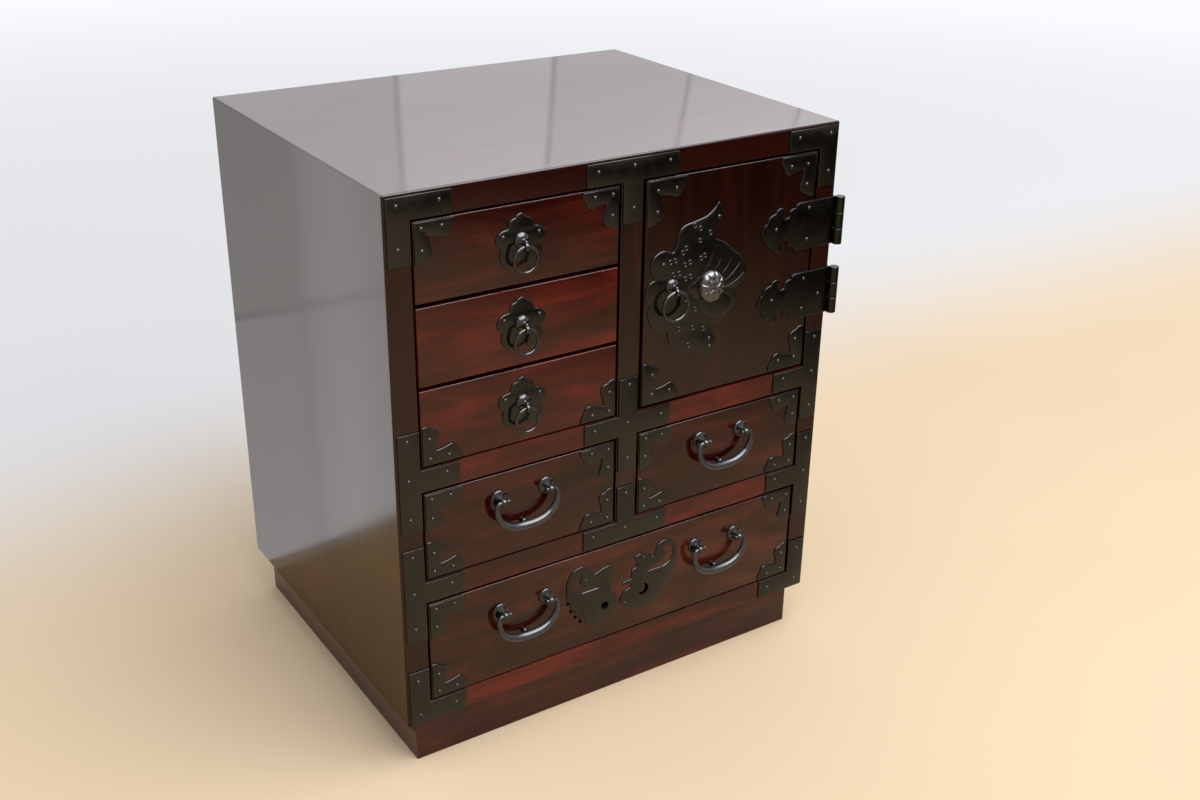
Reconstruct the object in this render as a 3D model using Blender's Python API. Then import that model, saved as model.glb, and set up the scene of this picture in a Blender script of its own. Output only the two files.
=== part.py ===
"""Small ironbound tansu chest: a lacquered case on a plinth, six drawers, a door and their iron fittings.

Metres, +Z up, the front faces -Y, and the origin lies on the floor under the middle of the chest's box.
Under the chest's empty, x runs across the front from the case's middle, y runs back from the front face
and z runs up from the case's underside. A drawer's or the door's empty carries the pieces that move with it.
"""
import math

import bmesh
import bpy
from mathutils import Matrix, Vector

# Case
CASE_WIDTH = 0.450
CASE_DEPTH = 0.361
CASE_HEIGHT = 0.484
BOARD = 0.022
BOTTOM_BOARD = 0.020
BACK_BOARD = 0.009
BACK_RECESS = 0.002
RUNNER_BOARD = 0.008
EDGE_ROUND = 0.003
DIVIDER_OFFSET = 0.001
BOTTOM_OPENING = 0.101
MIDDLE_OPENING = 0.085
SMALL_DRAWERS = 3
PLINTH_HEIGHT = 0.047
PLINTH_BOARD = 0.018
PLINTH_FRONT_INSET = 0.010
PLINTH_SIDE_INSET = 0.012
PLINTH_REAR_INSET = 0.010

# Fits: pieces that touch keep the join gap, pieces that slide or swing keep the other clearances
JOIN_GAP = 0.0003
FRONT_GAP = 0.0014
DOOR_CLOSING_GAP = 0.0026
BOX_SIDE_GAP = 0.0015
BOX_HEADROOM = 0.004
BOX_REAR_GAP = 0.012
RUNNER_SETBACK = 0.0015

# Drawers and door
DRAWER_FRONT = 0.018
DOOR_PANEL = 0.020
FRONT_ARRIS = 0.001
BOX_WALL = 0.009
BOX_FLOOR = 0.006

# Flat irons
IRON = 0.0012
IRON_SEAT = 0.0004
CASE_IRON_WIDTH = 0.0195
CASE_IRON_ARM = 0.0455
CASE_IRON_INSET = 0.0025
DRAWER_IRON_LEG = 0.035
DOOR_IRON_LEG = 0.040
CORNER_IRON_INSET = 0.0012

# Hinges
HINGE_RISE = 0.0018
HINGE_CLEARANCE = 0.0117
HINGE_GAP = 0.0225
HINGE_REACH = 0.0886
HINGE_LEAF_DEPTH = 0.036
HINGE_LEAF_CLIP = 0.006
KNUCKLE_RADIUS = 0.0045
KNUCKLE_FORWARD = 0.0035
KNUCKLE_GAP = 0.0004
PIN_RADIUS = 0.0018
PIN_CLEARANCE = 0.0003

# Ring pulls
FLOWER_RISE = 0.0037
RING_RADIUS = 0.0109
RING_WIRE = 0.0015
DOOR_RING_RADIUS = 0.0132
DOOR_RING_WIRE = 0.0018
RING_CLEARANCE = 0.0006
RING_BELL = 0.0070
RING_BELL_HEIGHT = 0.0046
RING_NECK = 0.0023
RING_EYE_FORWARD = 0.0090
RING_EYE_DROP = 0.0035
RING_EAR = 0.0038
RING_EAR_HALF_WIDTH = 0.0017
DOOR_POST_INSET = 0.0289
DOOR_POST_RISE = 0.006
FAN_RISE = 0.0030
FAN_ROUND = 0.0018
RIB_WIDTH = 0.0014
RIB_RISE = 0.0008

# Bail handles
HANDLE_X = 0.107
HANDLE_HALF_PITCH = 0.0235
HANDLE_RISE_MIDDLE = 0.0175
HANDLE_RISE_BOTTOM = 0.0185
ROSETTE_RADIUS = 0.0090
ROSETTE_RIM = 0.0010
ROSETTE_CROWN = 0.0028
POST_STEM = 0.0030
EYE_FORWARD = 0.0090
EYE_BALL = 0.0042
EYE_CLEARANCE = 0.0004
BAIL_PIN = 0.0019
BAIL_BEND = 0.0040
BAIL_DROP = 0.0295
BAIL_BAR = 0.0035
BAIL_SHOULDER = 0.0021
BAIL_END_BALL = 0.0029
BAIL_SIDE_GAP = 0.0006
BOW_SQUARENESS = 2.4
STUD_RADIUS = 0.0032
STUD_DOME = 0.0016
STUD_GAP = 0.0004

# Lock plates
LEFT_KEYHOLE_RADIUS = 0.0040
RIGHT_KEYHOLE_RADIUS = 0.0050
LOCK_MIRROR_X = 0.0005

ARC_STEPS = 4
DOME_STEPS = 3
BALL_STEPS = 5
ROUND_SIDES = 16
SMALL_SIDES = 12
WIRE_SIDES = 8
RING_STEPS = 24
BOW_STEPS = 9

# Outlines of the plates, in plate units: x, z and how far the stretch to the next corner bulges outwards,
# as the arc's height over its half chord. They run clockwise as seen from the front.
PLATE_UNIT = 0.001
# From the tip, over the upper half
HINGE_TIP = [
    (0.0, 0.0, 0.15), (6.0, 9.0, 0.35), (15.0, 16.5, 0.45), (24.5, 20.5, -0.12), (23.5, 12.5, -0.50),
    (30.8, 11.5, -0.15), (31.3, 15.5, 0.30), (38.3, 18.5, 0.30), (43.0, 22.75, 0.0),
]
# The end of a corner iron's leg: in from the edge, back from the leg's end
CORNER_LOBES = [(0.0, 0.0, 0.30), (8.7, 2.8, 0.42), (15.2, 9.6, -0.08)]
CORNER_CROTCH = 12.2
# The right half, down from the shouldered upper petal
FLOWER_HALF = [
    (0.0, 22.6, 0.22), (5.2, 19.0, 0.42), (11.2, 12.2, -0.25), (13.0, 10.4, 0.30),
    (22.8, 4.0, 0.35), (19.4, -4.2, -0.25), (18.2, -6.4, 0.36), (15.6, -19.4, 0.34),
    (4.6, -20.6, 0.10), (0.0, -16.4, 0.0),
]
# About the door's ring post
BUTTERFLY = [
    (2.5, 32.5, -0.10), (5.0, 44.0, 0.30), (15.5, 53.5, -0.02), (33.5, 56.8, -0.18),
    (48.0, 69.0, 0.30), (50.0, 49.0, -0.15), (46.5, 35.0, 0.12), (67.5, 20.5, 0.22),
    (83.0, -2.0, 0.20), (77.5, -12.5, -0.25), (69.5, -16.0, 0.45), (64.5, -37.0, 0.25),
    (46.5, -45.0, -0.25), (48.5, -56.0, 0.45), (47.5, -72.5, 0.45), (39.5, -73.5, -0.08),
    (18.5, -66.5, 0.12), (1.5, -58.0, 0.10), (-2.5, -43.0, -0.30), (-6.5, -41.5, 0.35),
    (-23.0, -27.0, 0.40), (-21.0, -15.0, 0.42), (-25.5, 2.0, 0.35), (-18.0, 8.0, -0.25),
    (-21.0, 14.0, 0.15), (-21.5, 26.0, 0.35), (-5.5, 32.8, 0.05), (-0.5, 30.0, -0.30),
]
FAN = [
    (18.5, -5.0, -0.10), (45.5, 29.0, 0.10), (66.5, 18.5, 0.22), (81.0, -2.0, 0.20),
    (76.0, -10.5, -0.06), (54.5, -11.5, -0.15),
]
FAN_RIBS = [
    ((40.5, 2.0), (52.5, 22.0)), ((48.5, -1.0), (64.5, 15.0)),
    ((53.5, -5.0), (73.5, 6.5)), ((55.5, -9.5), (78.5, -3.0)),
]
# About the middle of the bottom drawer's front
LEFT_LOCK = [
    (-60.5, 1.0, 0.08), (-62.0, 18.0, 0.18), (-57.0, 32.0, 0.30), (-42.0, 36.0, 0.20),
    (-36.5, 27.0, -0.30), (-29.5, 25.0, 0.15), (-14.0, 28.5, 0.45), (-11.5, 18.0, 0.0),
    (-12.0, 4.0, -0.35), (-8.0, -5.0, 0.25), (-5.0, -18.0, 0.25), (-13.0, -27.0, 0.12),
    (-36.0, -30.5, -0.55), (-42.0, -26.0, -0.55), (-48.0, -19.0, -0.55), (-53.5, -11.5, -0.55),
    (-58.0, -4.5, -0.55),
]
RIGHT_LOCK = [
    (-1.0, -19.0, 0.30), (-2.0, -11.0, 0.25), (8.0, -3.5, -0.30), (10.0, 0.5, 0.0), (0.5, 1.5, 0.55),
    (0.5, 4.7, 0.0), (10.0, 6.0, 0.0), (10.0, 15.5, -0.25), (16.0, 18.0, -0.30), (12.5, 27.0, 0.40),
    (24.0, 28.5, 0.15), (33.0, 22.5, -0.25), (38.0, 32.0, 0.25), (47.0, 36.5, 0.25), (58.0, 31.0, 0.20),
    (62.5, 18.0, 0.12), (61.0, 4.0, 0.05), (56.0, -8.0, 0.06), (47.0, -20.0, 0.10), (34.0, -28.0, 0.12),
    (14.0, -29.0, 0.10),
]
# The left plate's window; the right plate's is its mirror image
LOCK_WINDOW = [
    (-28.0, 8.7, 0.0), (-45.0, 8.6, 0.20), (-56.5, 17.0, 0.15), (-55.0, 27.0, 0.25), (-47.5, 30.5, 0.30),
    (-45.5, 24.0, -0.20), (-46.5, 18.0, -0.20), (-39.0, 13.5, 0.0), (-28.0, 11.5, 0.0),
]
LEFT_KEYHOLE = (-20.0, -13.0)
RIGHT_KEYHOLE = (23.5, -9.5)

# Finishes: colour, roughness, metallic
CASE_LACQUER = ((0.115, 0.034, 0.022), 0.22, 0.0)
FRONT_LACQUER = ((0.175, 0.043, 0.022), 0.25, 0.0)
PALE_WOOD = ((0.520, 0.370, 0.230), 0.60, 0.0)
PLATE_IRON = ((0.036, 0.034, 0.028), 0.42, 0.8)
BRIGHT_IRON = ((0.024, 0.024, 0.024), 0.22, 0.9)

# Places worked out from the sizes above
HALF_WIDTH = CASE_WIDTH / 2
INNER_X = HALF_WIDTH - BOARD
BACK_Y = CASE_DEPTH - BACK_RECESS - BACK_BOARD
TOP_Z = CASE_HEIGHT - BOARD
LOWER_SHELF_Z = BOTTOM_BOARD + BOTTOM_OPENING
LOWER_SHELF_TOP = LOWER_SHELF_Z + BOARD
MIDDLE_SHELF_Z = LOWER_SHELF_TOP + MIDDLE_OPENING
MIDDLE_SHELF_TOP = MIDDLE_SHELF_Z + BOARD
SMALL_PITCH = (TOP_Z - MIDDLE_SHELF_TOP) / SMALL_DRAWERS
DIVIDER_LEFT = DIVIDER_OFFSET - BOARD / 2
DIVIDER_RIGHT = DIVIDER_OFFSET + BOARD / 2
CASE_IRON_SIDE = HALF_WIDTH - CASE_IRON_INSET - CASE_IRON_WIDTH / 2
CASE_IRON_TOP = CASE_HEIGHT - CASE_IRON_INSET - CASE_IRON_WIDTH / 2
DOOR_LEFT = DIVIDER_RIGHT + DOOR_CLOSING_GAP
DOOR_RIGHT = INNER_X - FRONT_GAP
DOOR_FOOT = MIDDLE_SHELF_TOP + FRONT_GAP
DOOR_TOP = TOP_Z - FRONT_GAP
DOOR_MIDDLE_X = (DOOR_LEFT + DOOR_RIGHT) / 2
DOOR_MIDDLE_Z = (DOOR_FOOT + DOOR_TOP) / 2
DOOR_POST_X = DOOR_LEFT + DOOR_POST_INSET
DOOR_POST_Z = DOOR_MIDDLE_Z + DOOR_POST_RISE
HINGE_MIDDLE_Z = DOOR_MIDDLE_Z + HINGE_RISE
HINGE_LIMIT = CASE_IRON_TOP - CASE_IRON_ARM - HINGE_CLEARANCE - HINGE_MIDDLE_Z
HINGE_HEIGHT = HINGE_LIMIT - HINGE_GAP / 2
HINGE_SPACING = HINGE_HEIGHT + HINGE_GAP
KNUCKLE_X = HALF_WIDTH + JOIN_GAP + KNUCKLE_RADIUS
FRONT_REACH = JOIN_GAP + EYE_FORWARD + EYE_BALL
CHEST_X = -(KNUCKLE_X + KNUCKLE_RADIUS - HALF_WIDTH) / 2
CHEST_Y = (FRONT_REACH - CASE_DEPTH) / 2
TINY = 0.00001


def finish_material(name, finish):
    """A material of the piece's own, with its colour, roughness and metallic value."""
    colour, roughness, metallic = finish
    material = bpy.data.materials.new(name + "_finish")
    material.use_nodes = True
    shader = material.node_tree.nodes["Principled BSDF"]
    shader.inputs["Base Color"].default_value = (*colour, 1.0)
    shader.inputs["Roughness"].default_value = roughness
    shader.inputs["Metallic"].default_value = metallic
    material.diffuse_color = (*colour, 1.0)
    return material


def add_empty(name, parent, location):
    """An empty that carries the pieces of one body."""
    empty = bpy.data.objects.new(name, None)
    empty.parent = parent
    empty.location = location
    bpy.context.scene.collection.objects.link(empty)
    return empty


def add_piece(name, shape, finish, parent, location=(0.0, 0.0, 0.0), smooth=False):
    """One named object from a finished shape."""
    bmesh.ops.recalc_face_normals(shape, faces=shape.faces)
    mesh = bpy.data.meshes.new(name)
    shape.to_mesh(mesh)
    shape.free()
    if smooth:
        mesh.shade_smooth()
        mesh.set_sharp_from_angle(angle=math.radians(35.0))
    mesh.materials.append(finish_material(name, finish))
    piece = bpy.data.objects.new(name, mesh)
    piece.parent = parent
    piece.location = location
    bpy.context.scene.collection.objects.link(piece)
    return piece


def box(x0, x1, y0, y1, z0, z1):
    """A plain block between two corners."""
    shape = bmesh.new()
    bmesh.ops.create_cube(shape, size=1.0)
    bmesh.ops.scale(shape, vec=(x1 - x0, y1 - y0, z1 - z0), verts=shape.verts)
    bmesh.ops.translate(shape, vec=((x0 + x1) / 2, (y0 + y1) / 2, (z0 + z1) / 2), verts=shape.verts)
    return shape


def prism(outline, y0, y1):
    """An outline in x and z, as thick as from y0 to y1."""
    shape = bmesh.new()
    front = [shape.verts.new((x, y0, z)) for x, z in outline]
    back = [shape.verts.new((x, y1, z)) for x, z in outline]
    shape.faces.new(front)
    shape.faces.new(list(reversed(back)))
    for i in range(len(outline)):
        j = (i + 1) % len(outline)
        shape.faces.new((front[j], front[i], back[i], back[j]))
    bmesh.ops.recalc_face_normals(shape, faces=shape.faces)
    return shape


def turned(profile, sides=ROUND_SIDES):
    """A shape turned about the y axis, from its radius and y at each step; the ends lie on the axis."""
    shape = bmesh.new()
    rings = []
    for radius, y in profile:
        if radius < TINY:
            rings.append([shape.verts.new((0.0, y, 0.0))])
            continue
        angles = [math.tau * i / sides for i in range(sides)]
        rings.append([shape.verts.new((radius * math.cos(a), y, radius * math.sin(a))) for a in angles])
    for lower, upper in zip(rings, rings[1:]):
        for i in range(sides):
            j = (i + 1) % sides
            near = [lower[i % len(lower)], lower[j % len(lower)]]
            far = [upper[j % len(upper)], upper[i % len(upper)]]
            shape.faces.new(list(dict.fromkeys(near + far)))
    bmesh.ops.recalc_face_normals(shape, faces=shape.faces)
    return shape


def tube(path, radii, sides=WIRE_SIDES, closed=False):
    """A round bar along a path in the x-z plane, with its radius at each point."""
    shape = bmesh.new()
    across = Vector((0.0, 1.0, 0.0))
    count = len(path)
    rings = []
    for i, (point, radius) in enumerate(zip(path, radii)):
        before = path[(i - 1) % count] if closed else path[max(i - 1, 0)]
        after = path[(i + 1) % count] if closed else path[min(i + 1, count - 1)]
        outward = (after - before).normalized().cross(across)
        ring = []
        for k in range(sides):
            angle = math.tau * (k + 0.5) / sides
            offset = across * math.cos(angle) + outward * math.sin(angle)
            ring.append(shape.verts.new(point + radius * offset))
        rings.append(ring)
    pairs = list(zip(rings, rings[1:]))
    if closed:
        pairs.append((rings[-1], rings[0]))
    for first, second in pairs:
        for k in range(sides):
            m = (k + 1) % sides
            shape.faces.new((first[k], first[m], second[m], second[k]))
    if not closed:
        shape.faces.new(rings[0])
        shape.faces.new(rings[-1])
    bmesh.ops.recalc_face_normals(shape, faces=shape.faces)
    return shape


def rod(radius, length, centre, axis, sides=ROUND_SIDES):
    """A cylinder about an axis, X or Z, through its centre."""
    turn = Matrix.Rotation(math.pi / 2, 4, "Y") if axis == "X" else Matrix.Identity(4)
    shape = bmesh.new()
    bmesh.ops.create_cone(
        shape, cap_ends=True, segments=sides, radius1=radius, radius2=radius, depth=length,
        matrix=Matrix.Translation(centre) @ turn,
    )
    return shape


def scratch_object(name, shape):
    """A passing object that a Boolean works on."""
    mesh = bpy.data.meshes.new(name)
    shape.to_mesh(mesh)
    shape.free()
    piece = bpy.data.objects.new(name, mesh)
    bpy.context.scene.collection.objects.link(piece)
    return piece


def combine(base, tool, operation):
    """The two shapes joined (UNION), or the first less the second (DIFFERENCE)."""
    target = scratch_object("combine_base", base)
    cutter = scratch_object("combine_tool", tool)
    cutter.hide_render = True
    cutter.display_type = "WIRE"
    modifier = target.modifiers.new("combine", "BOOLEAN")
    modifier.operation = operation
    modifier.solver = "EXACT"
    modifier.object = cutter
    result = bmesh.new()
    result.from_object(target, bpy.context.evaluated_depsgraph_get())
    for piece in (target, cutter):
        mesh = piece.data
        bpy.data.objects.remove(piece)
        bpy.data.meshes.remove(mesh)
    return result


def join_all(base, extras):
    """The base with every extra shape joined on."""
    for extra in extras:
        base = combine(base, extra, "UNION")
    return base


def mirrored(shape, axis):
    """The shape mirrored through the plane across one axis."""
    factors = [1.0, 1.0, 1.0]
    factors["XYZ".index(axis)] = -1.0
    bmesh.ops.scale(shape, vec=factors, verts=shape.verts)
    bmesh.ops.recalc_face_normals(shape, faces=shape.faces)
    return shape


def round_edges(shape, chosen, width, segments=2):
    """Rounds the edges whose two ends both pass the test."""
    edges = [edge for edge in shape.edges if all(chosen(vert.co) for vert in edge.verts)]
    bmesh.ops.bevel(
        shape, geom=edges, offset=width, offset_type="OFFSET", segments=segments, profile=0.5, affect="EDGES",
        clamp_overlap=True,
    )
    return shape


def arc_points(corners, steps=ARC_STEPS):
    """Outline points in metres from corners with bulges, each round stretch as an arc."""
    points = []
    for (x0, z0, bulge), (x1, z1, _) in zip(corners, corners[1:] + corners[:1]):
        start = Vector((x0, z0)) * PLATE_UNIT
        chord = Vector((x1, z1)) * PLATE_UNIT - start
        points.append(tuple(start))
        if abs(bulge) < TINY:
            continue
        sweep = 4.0 * math.atan(bulge)
        for k in range(1, steps):
            part = k / steps
            length = math.sin(sweep * part / 2) / math.sin(sweep / 2)
            turn = Matrix.Rotation(sweep * (1 - part) / 2, 2)
            points.append(tuple(start + turn @ chord * length))
    return points


def run_back(corners):
    """The corners from last to first, each with the bulge of the stretch that now leaves it."""
    bulges = [0.0] + [bulge for _, _, bulge in corners[:-1]]
    return [(x, z, bulge) for (x, z, _), bulge in zip(reversed(corners), reversed(bulges))]


def shifted(outline, x, z):
    """An outline moved across the front."""
    return [(px + x, pz + z) for px, pz in outline]


def dome(radius, back, height):
    """The profile of a dome, from its rim to its top."""
    angles = [math.pi / 2 * step / DOME_STEPS for step in range(DOME_STEPS)]
    rim = [(radius * math.cos(angle), back - height * math.sin(angle)) for angle in angles]
    return rim + [(0.0, back - height)]


# The case

def build_top_board(chest):
    """The top, mitred to the sides and rounded along its upper front edge and its ends."""
    shy = JOIN_GAP / math.sqrt(2)
    half = []
    for step in range(ARC_STEPS + 1):
        angle = math.pi / 2 + math.pi / 4 * step / ARC_STEPS
        x = -HALF_WIDTH + EDGE_ROUND + EDGE_ROUND * math.cos(angle)
        half.append((x + shy * step / ARC_STEPS, CASE_HEIGHT - EDGE_ROUND + EDGE_ROUND * math.sin(angle)))
    half.append((-INNER_X + shy, TOP_Z))
    outline = half + [(-x, z) for x, z in reversed(half)]
    shape = prism(outline, 0.0, CASE_DEPTH)
    round_edges(shape, lambda p: p.y < TINY and p.z > CASE_HEIGHT - EDGE_ROUND, EDGE_ROUND)
    add_piece("top_board", shape, CASE_LACQUER, chest)


def build_side(chest, name, mirror):
    """One side, mitred to the top and rounded along its outer front edge."""
    shy = JOIN_GAP / math.sqrt(2)
    outline = [(-INNER_X, TOP_Z - shy), (-INNER_X, 0.0), (-HALF_WIDTH, 0.0)]
    for step in range(ARC_STEPS + 1):
        angle = math.pi - math.pi / 4 * step / ARC_STEPS
        z = CASE_HEIGHT - EDGE_ROUND + EDGE_ROUND * math.sin(angle)
        outline.append((-HALF_WIDTH + EDGE_ROUND + EDGE_ROUND * math.cos(angle), z - shy * step / ARC_STEPS))
    shape = prism(outline, 0.0, CASE_DEPTH)
    round_edges(shape, lambda p: p.y < TINY and p.x < -HALF_WIDTH + EDGE_ROUND, EDGE_ROUND)
    if mirror:
        mirrored(shape, "X")
    add_piece(name, shape, CASE_LACQUER, chest)


def build_inner_boards(chest):
    """Bottom, back, shelves, divider and the runner boards between the small drawers."""
    left, right = -INNER_X + JOIN_GAP, INNER_X - JOIN_GAP
    back = BACK_Y - JOIN_GAP
    boards = {
        "bottom_board": (left, right, 0.0, CASE_DEPTH, 0.0, BOTTOM_BOARD),
        "lower_shelf": (left, right, 0.0, back, LOWER_SHELF_Z, LOWER_SHELF_TOP),
        "centre_divider": (
            DIVIDER_LEFT, DIVIDER_RIGHT, 0.0, back, LOWER_SHELF_TOP + JOIN_GAP, TOP_Z - JOIN_GAP),
        "left_shelf": (left, DIVIDER_LEFT - JOIN_GAP, 0.0, back, MIDDLE_SHELF_Z, MIDDLE_SHELF_TOP),
        "right_shelf": (DIVIDER_RIGHT + JOIN_GAP, right, 0.0, back, MIDDLE_SHELF_Z, MIDDLE_SHELF_TOP),
    }
    for name, corners in boards.items():
        add_piece(name, box(*corners), CASE_LACQUER, chest)
    back_panel = box(left, right, BACK_Y, BACK_Y + BACK_BOARD, BOTTOM_BOARD + JOIN_GAP, TOP_Z - JOIN_GAP)
    add_piece("back_panel", back_panel, PALE_WOOD, chest)
    for i in range(1, SMALL_DRAWERS):
        middle = MIDDLE_SHELF_TOP + i * SMALL_PITCH
        runner = box(
            left, DIVIDER_LEFT - JOIN_GAP, DRAWER_FRONT + RUNNER_SETBACK, back,
            middle - RUNNER_BOARD / 2, middle + RUNNER_BOARD / 2)
        add_piece(f"drawer_runner_{SMALL_DRAWERS - i}", runner, PALE_WOOD, chest)


def build_plinth(chest):
    """Four boards joined to one frame, set in under the case."""
    x = HALF_WIDTH - PLINTH_SIDE_INSET
    y0, y1 = PLINTH_FRONT_INSET, CASE_DEPTH - PLINTH_REAR_INSET
    outer = box(-x, x, y0, y1, -PLINTH_HEIGHT, -JOIN_GAP)
    inner = box(
        -x + PLINTH_BOARD, x - PLINTH_BOARD, y0 + PLINTH_BOARD, y1 - PLINTH_BOARD,
        -PLINTH_HEIGHT - PLINTH_BOARD, PLINTH_BOARD)
    add_piece("plinth", combine(outer, inner, "DIFFERENCE"), CASE_LACQUER, chest)


def case_iron_outline(left, right, up, down):
    """An angle, a T or a cross: each arm that is wanted reaches out from the middle."""
    w = CASE_IRON_WIDTH / 2
    reach = [CASE_IRON_ARM if wanted else w for wanted in (left, right, up, down)]
    corners = [
        (-w, reach[2]), (w, reach[2]), (w, w), (reach[1], w), (reach[1], -w), (w, -w),
        (w, -reach[3]), (-w, -reach[3]), (-w, -w), (-reach[0], -w), (-reach[0], w), (-w, w),
    ]
    return list(dict.fromkeys(corners))


def build_case_irons(chest):
    """The eleven nailed plates on the front of the case."""
    side = CASE_IRON_SIDE
    top = CASE_IRON_TOP
    middle = MIDDLE_SHELF_Z + BOARD / 2
    lower = LOWER_SHELF_Z + BOARD / 2
    bottom = BOTTOM_BOARD / 2
    irons = {
        "corner_iron_top_left": (-side, top, (False, True, False, True)),
        "corner_iron_top_right": (side, top, (True, False, False, True)),
        "corner_iron_bottom_left": (-side, bottom, (False, True, True, False)),
        "corner_iron_bottom_right": (side, bottom, (True, False, True, False)),
        "top_centre_iron": (DIVIDER_OFFSET, top, (True, True, False, True)),
        "centre_cross_iron": (DIVIDER_OFFSET, middle, (True, True, True, True)),
        "lower_centre_iron": (DIVIDER_OFFSET, lower, (True, True, True, False)),
        "side_iron_upper_left": (-side, middle, (False, True, True, True)),
        "side_iron_upper_right": (side, middle, (True, False, True, True)),
        "side_iron_lower_left": (-side, lower, (False, True, True, True)),
        "side_iron_lower_right": (side, lower, (True, False, True, True)),
    }
    for name, (x, z, arms) in irons.items():
        plate = prism(shifted(case_iron_outline(*arms), x, z), -JOIN_GAP - IRON, -JOIN_GAP)
        add_piece(name, plate, PLATE_IRON, chest)


# Fittings that several fronts share

def corner_iron(leg):
    """A lobed corner iron with its corner at the origin and its legs along +x and +z."""
    size = leg / DRAWER_IRON_LEG
    end = leg / PLATE_UNIT
    crotch = CORNER_CROTCH * size
    upright = [(x * size, end - back * size, bulge) for x, back, bulge in CORNER_LOBES]
    level = run_back([(z, x, bulge) for x, z, bulge in upright])
    bend = (crotch, crotch, CORNER_LOBES[-1][2])
    return arc_points([(0.0, 0.0, 0.0)] + upright + [bend] + level)


def front_with_irons(half_width, half_height, thickness, leg, spots):
    """A drawer's or the door's front, with a corner iron at each wanted corner."""
    front = box(-half_width, half_width, 0.0, thickness, -half_height, half_height)
    round_edges(front, lambda p: p.y < TINY, FRONT_ARRIS, segments=1)
    for x_sign, z_sign in spots:
        x_corner = x_sign * (half_width - CORNER_IRON_INSET)
        z_corner = z_sign * (half_height - CORNER_IRON_INSET)
        outline = [(x_corner - x_sign * x, z_corner - z_sign * z) for x, z in corner_iron(leg)]
        front = combine(front, prism(outline, -IRON, IRON_SEAT), "UNION")
    return front


def ring_post(plate_front, wire):
    """A bell-shaped boss on a plate, with a neck and a drilled ear at its end, in which the ring hangs."""
    eye = -RING_EYE_FORWARD
    root = plate_front + IRON_SEAT
    bell = [(0.0, root), (RING_BELL, root)] + dome(RING_BELL, plate_front, RING_BELL_HEIGHT)[:-1]
    neck = [(RING_NECK, plate_front - RING_BELL_HEIGHT)] + dome(RING_NECK, eye, RING_NECK)
    stem = turned(bell + neck)
    ear = rod(RING_EAR, 2 * RING_EAR_HALF_WIDTH, (0.0, eye, -RING_EYE_DROP), "X")
    hole = rod(wire + RING_CLEARANCE, 4 * RING_EAR, (0.0, eye, -RING_EYE_DROP), "X")
    return combine(combine(stem, ear, "UNION"), hole, "DIFFERENCE")


def ring_shape(radius, wire):
    """A ring that hangs from the origin."""
    angles = [math.tau * i / RING_STEPS for i in range(RING_STEPS)]
    path = [Vector((radius * math.sin(a), 0.0, radius * math.cos(a) - radius)) for a in angles]
    return tube(path, [wire] * RING_STEPS, closed=True)


def flower_outline():
    """Five petals, of which the upright one has shoulders."""
    left = run_back([(-x, z, bulge) for x, z, bulge in FLOWER_HALF])
    return arc_points(FLOWER_HALF[:-1] + left[:-1])


def handle_post():
    """A rosette with a stem and a drilled ball, turned about y; the bail's end turns in the ball."""
    base = -JOIN_GAP
    eye = base - EYE_FORWARD
    neck = math.sqrt(EYE_BALL ** 2 - POST_STEM ** 2)
    profile = [
        (0.0, base), (ROSETTE_RADIUS, base), (ROSETTE_RADIUS, base - ROSETTE_RIM),
        (POST_STEM, base - ROSETTE_CROWN), (POST_STEM, eye + neck),
    ]
    start = math.asin(POST_STEM / EYE_BALL)
    for step in range(1, BALL_STEPS + 1):
        angle = start + (math.pi - start) * step / BALL_STEPS
        profile.append((max(EYE_BALL * math.sin(angle), 0.0), eye + EYE_BALL * math.cos(angle)))
    hole = rod(BAIL_PIN + EYE_CLEARANCE, 4 * EYE_BALL, (0.0, eye, 0.0), "X", sides=SMALL_SIDES)
    return combine(turned(profile), hole, "DIFFERENCE")


def bail_shape():
    """A bow that thickens to its middle; its ends bend inwards through the eyes to a small ball."""
    hole = BAIL_PIN + EYE_CLEARANCE
    eye_half = math.sqrt(EYE_BALL ** 2 - hole ** 2)
    bend_x = HANDLE_HALF_PITCH + eye_half - EYE_CLEARANCE
    ball_x = HANDLE_HALF_PITCH - eye_half - BAIL_SIDE_GAP - BAIL_END_BALL
    half_width = bend_x + BAIL_BEND
    points = []
    for step in range(1, BALL_STEPS + 1):
        angle = (math.pi - math.asin(BAIL_PIN / BAIL_END_BALL)) * step / BALL_STEPS
        points.append((ball_x - BAIL_END_BALL * math.cos(angle), 0.0, BAIL_END_BALL * math.sin(angle)))
    for step in range(ARC_STEPS):
        angle = math.pi / 2 * step / ARC_STEPS
        x = bend_x + BAIL_BEND * math.sin(angle)
        points.append((x, -BAIL_BEND * (1 - math.cos(angle)), BAIL_PIN))
    for step in range(BOW_STEPS + 1):
        angle = math.pi / 2 * step / BOW_STEPS
        x = half_width * abs(math.cos(angle)) ** (2 / BOW_SQUARENESS)
        z = -BAIL_BEND - (BAIL_DROP - BAIL_BEND) * math.sin(angle) ** (2 / BOW_SQUARENESS)
        points.append((x, z, BAIL_SHOULDER + (BAIL_BAR - BAIL_SHOULDER) * math.sin(angle)))
    points[-1] = (0.0, -BAIL_DROP, BAIL_BAR)
    points += [(-x, z, radius) for x, z, radius in reversed(points[:-1])]
    return tube([Vector((x, 0.0, z)) for x, z, _ in points], [radius for _, _, radius in points])


def stop_stud(x, z):
    """The stud behind a bail's bow, joined to the front."""
    reach = JOIN_GAP + EYE_FORWARD - BAIL_BAR - STUD_GAP
    profile = [(0.0, IRON_SEAT), (STUD_RADIUS, IRON_SEAT)]
    stud = turned(profile + dome(STUD_RADIUS, STUD_DOME - reach, STUD_DOME), sides=SMALL_SIDES)
    bmesh.ops.translate(stud, vec=(x, 0.0, z), verts=stud.verts)
    return stud


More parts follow.
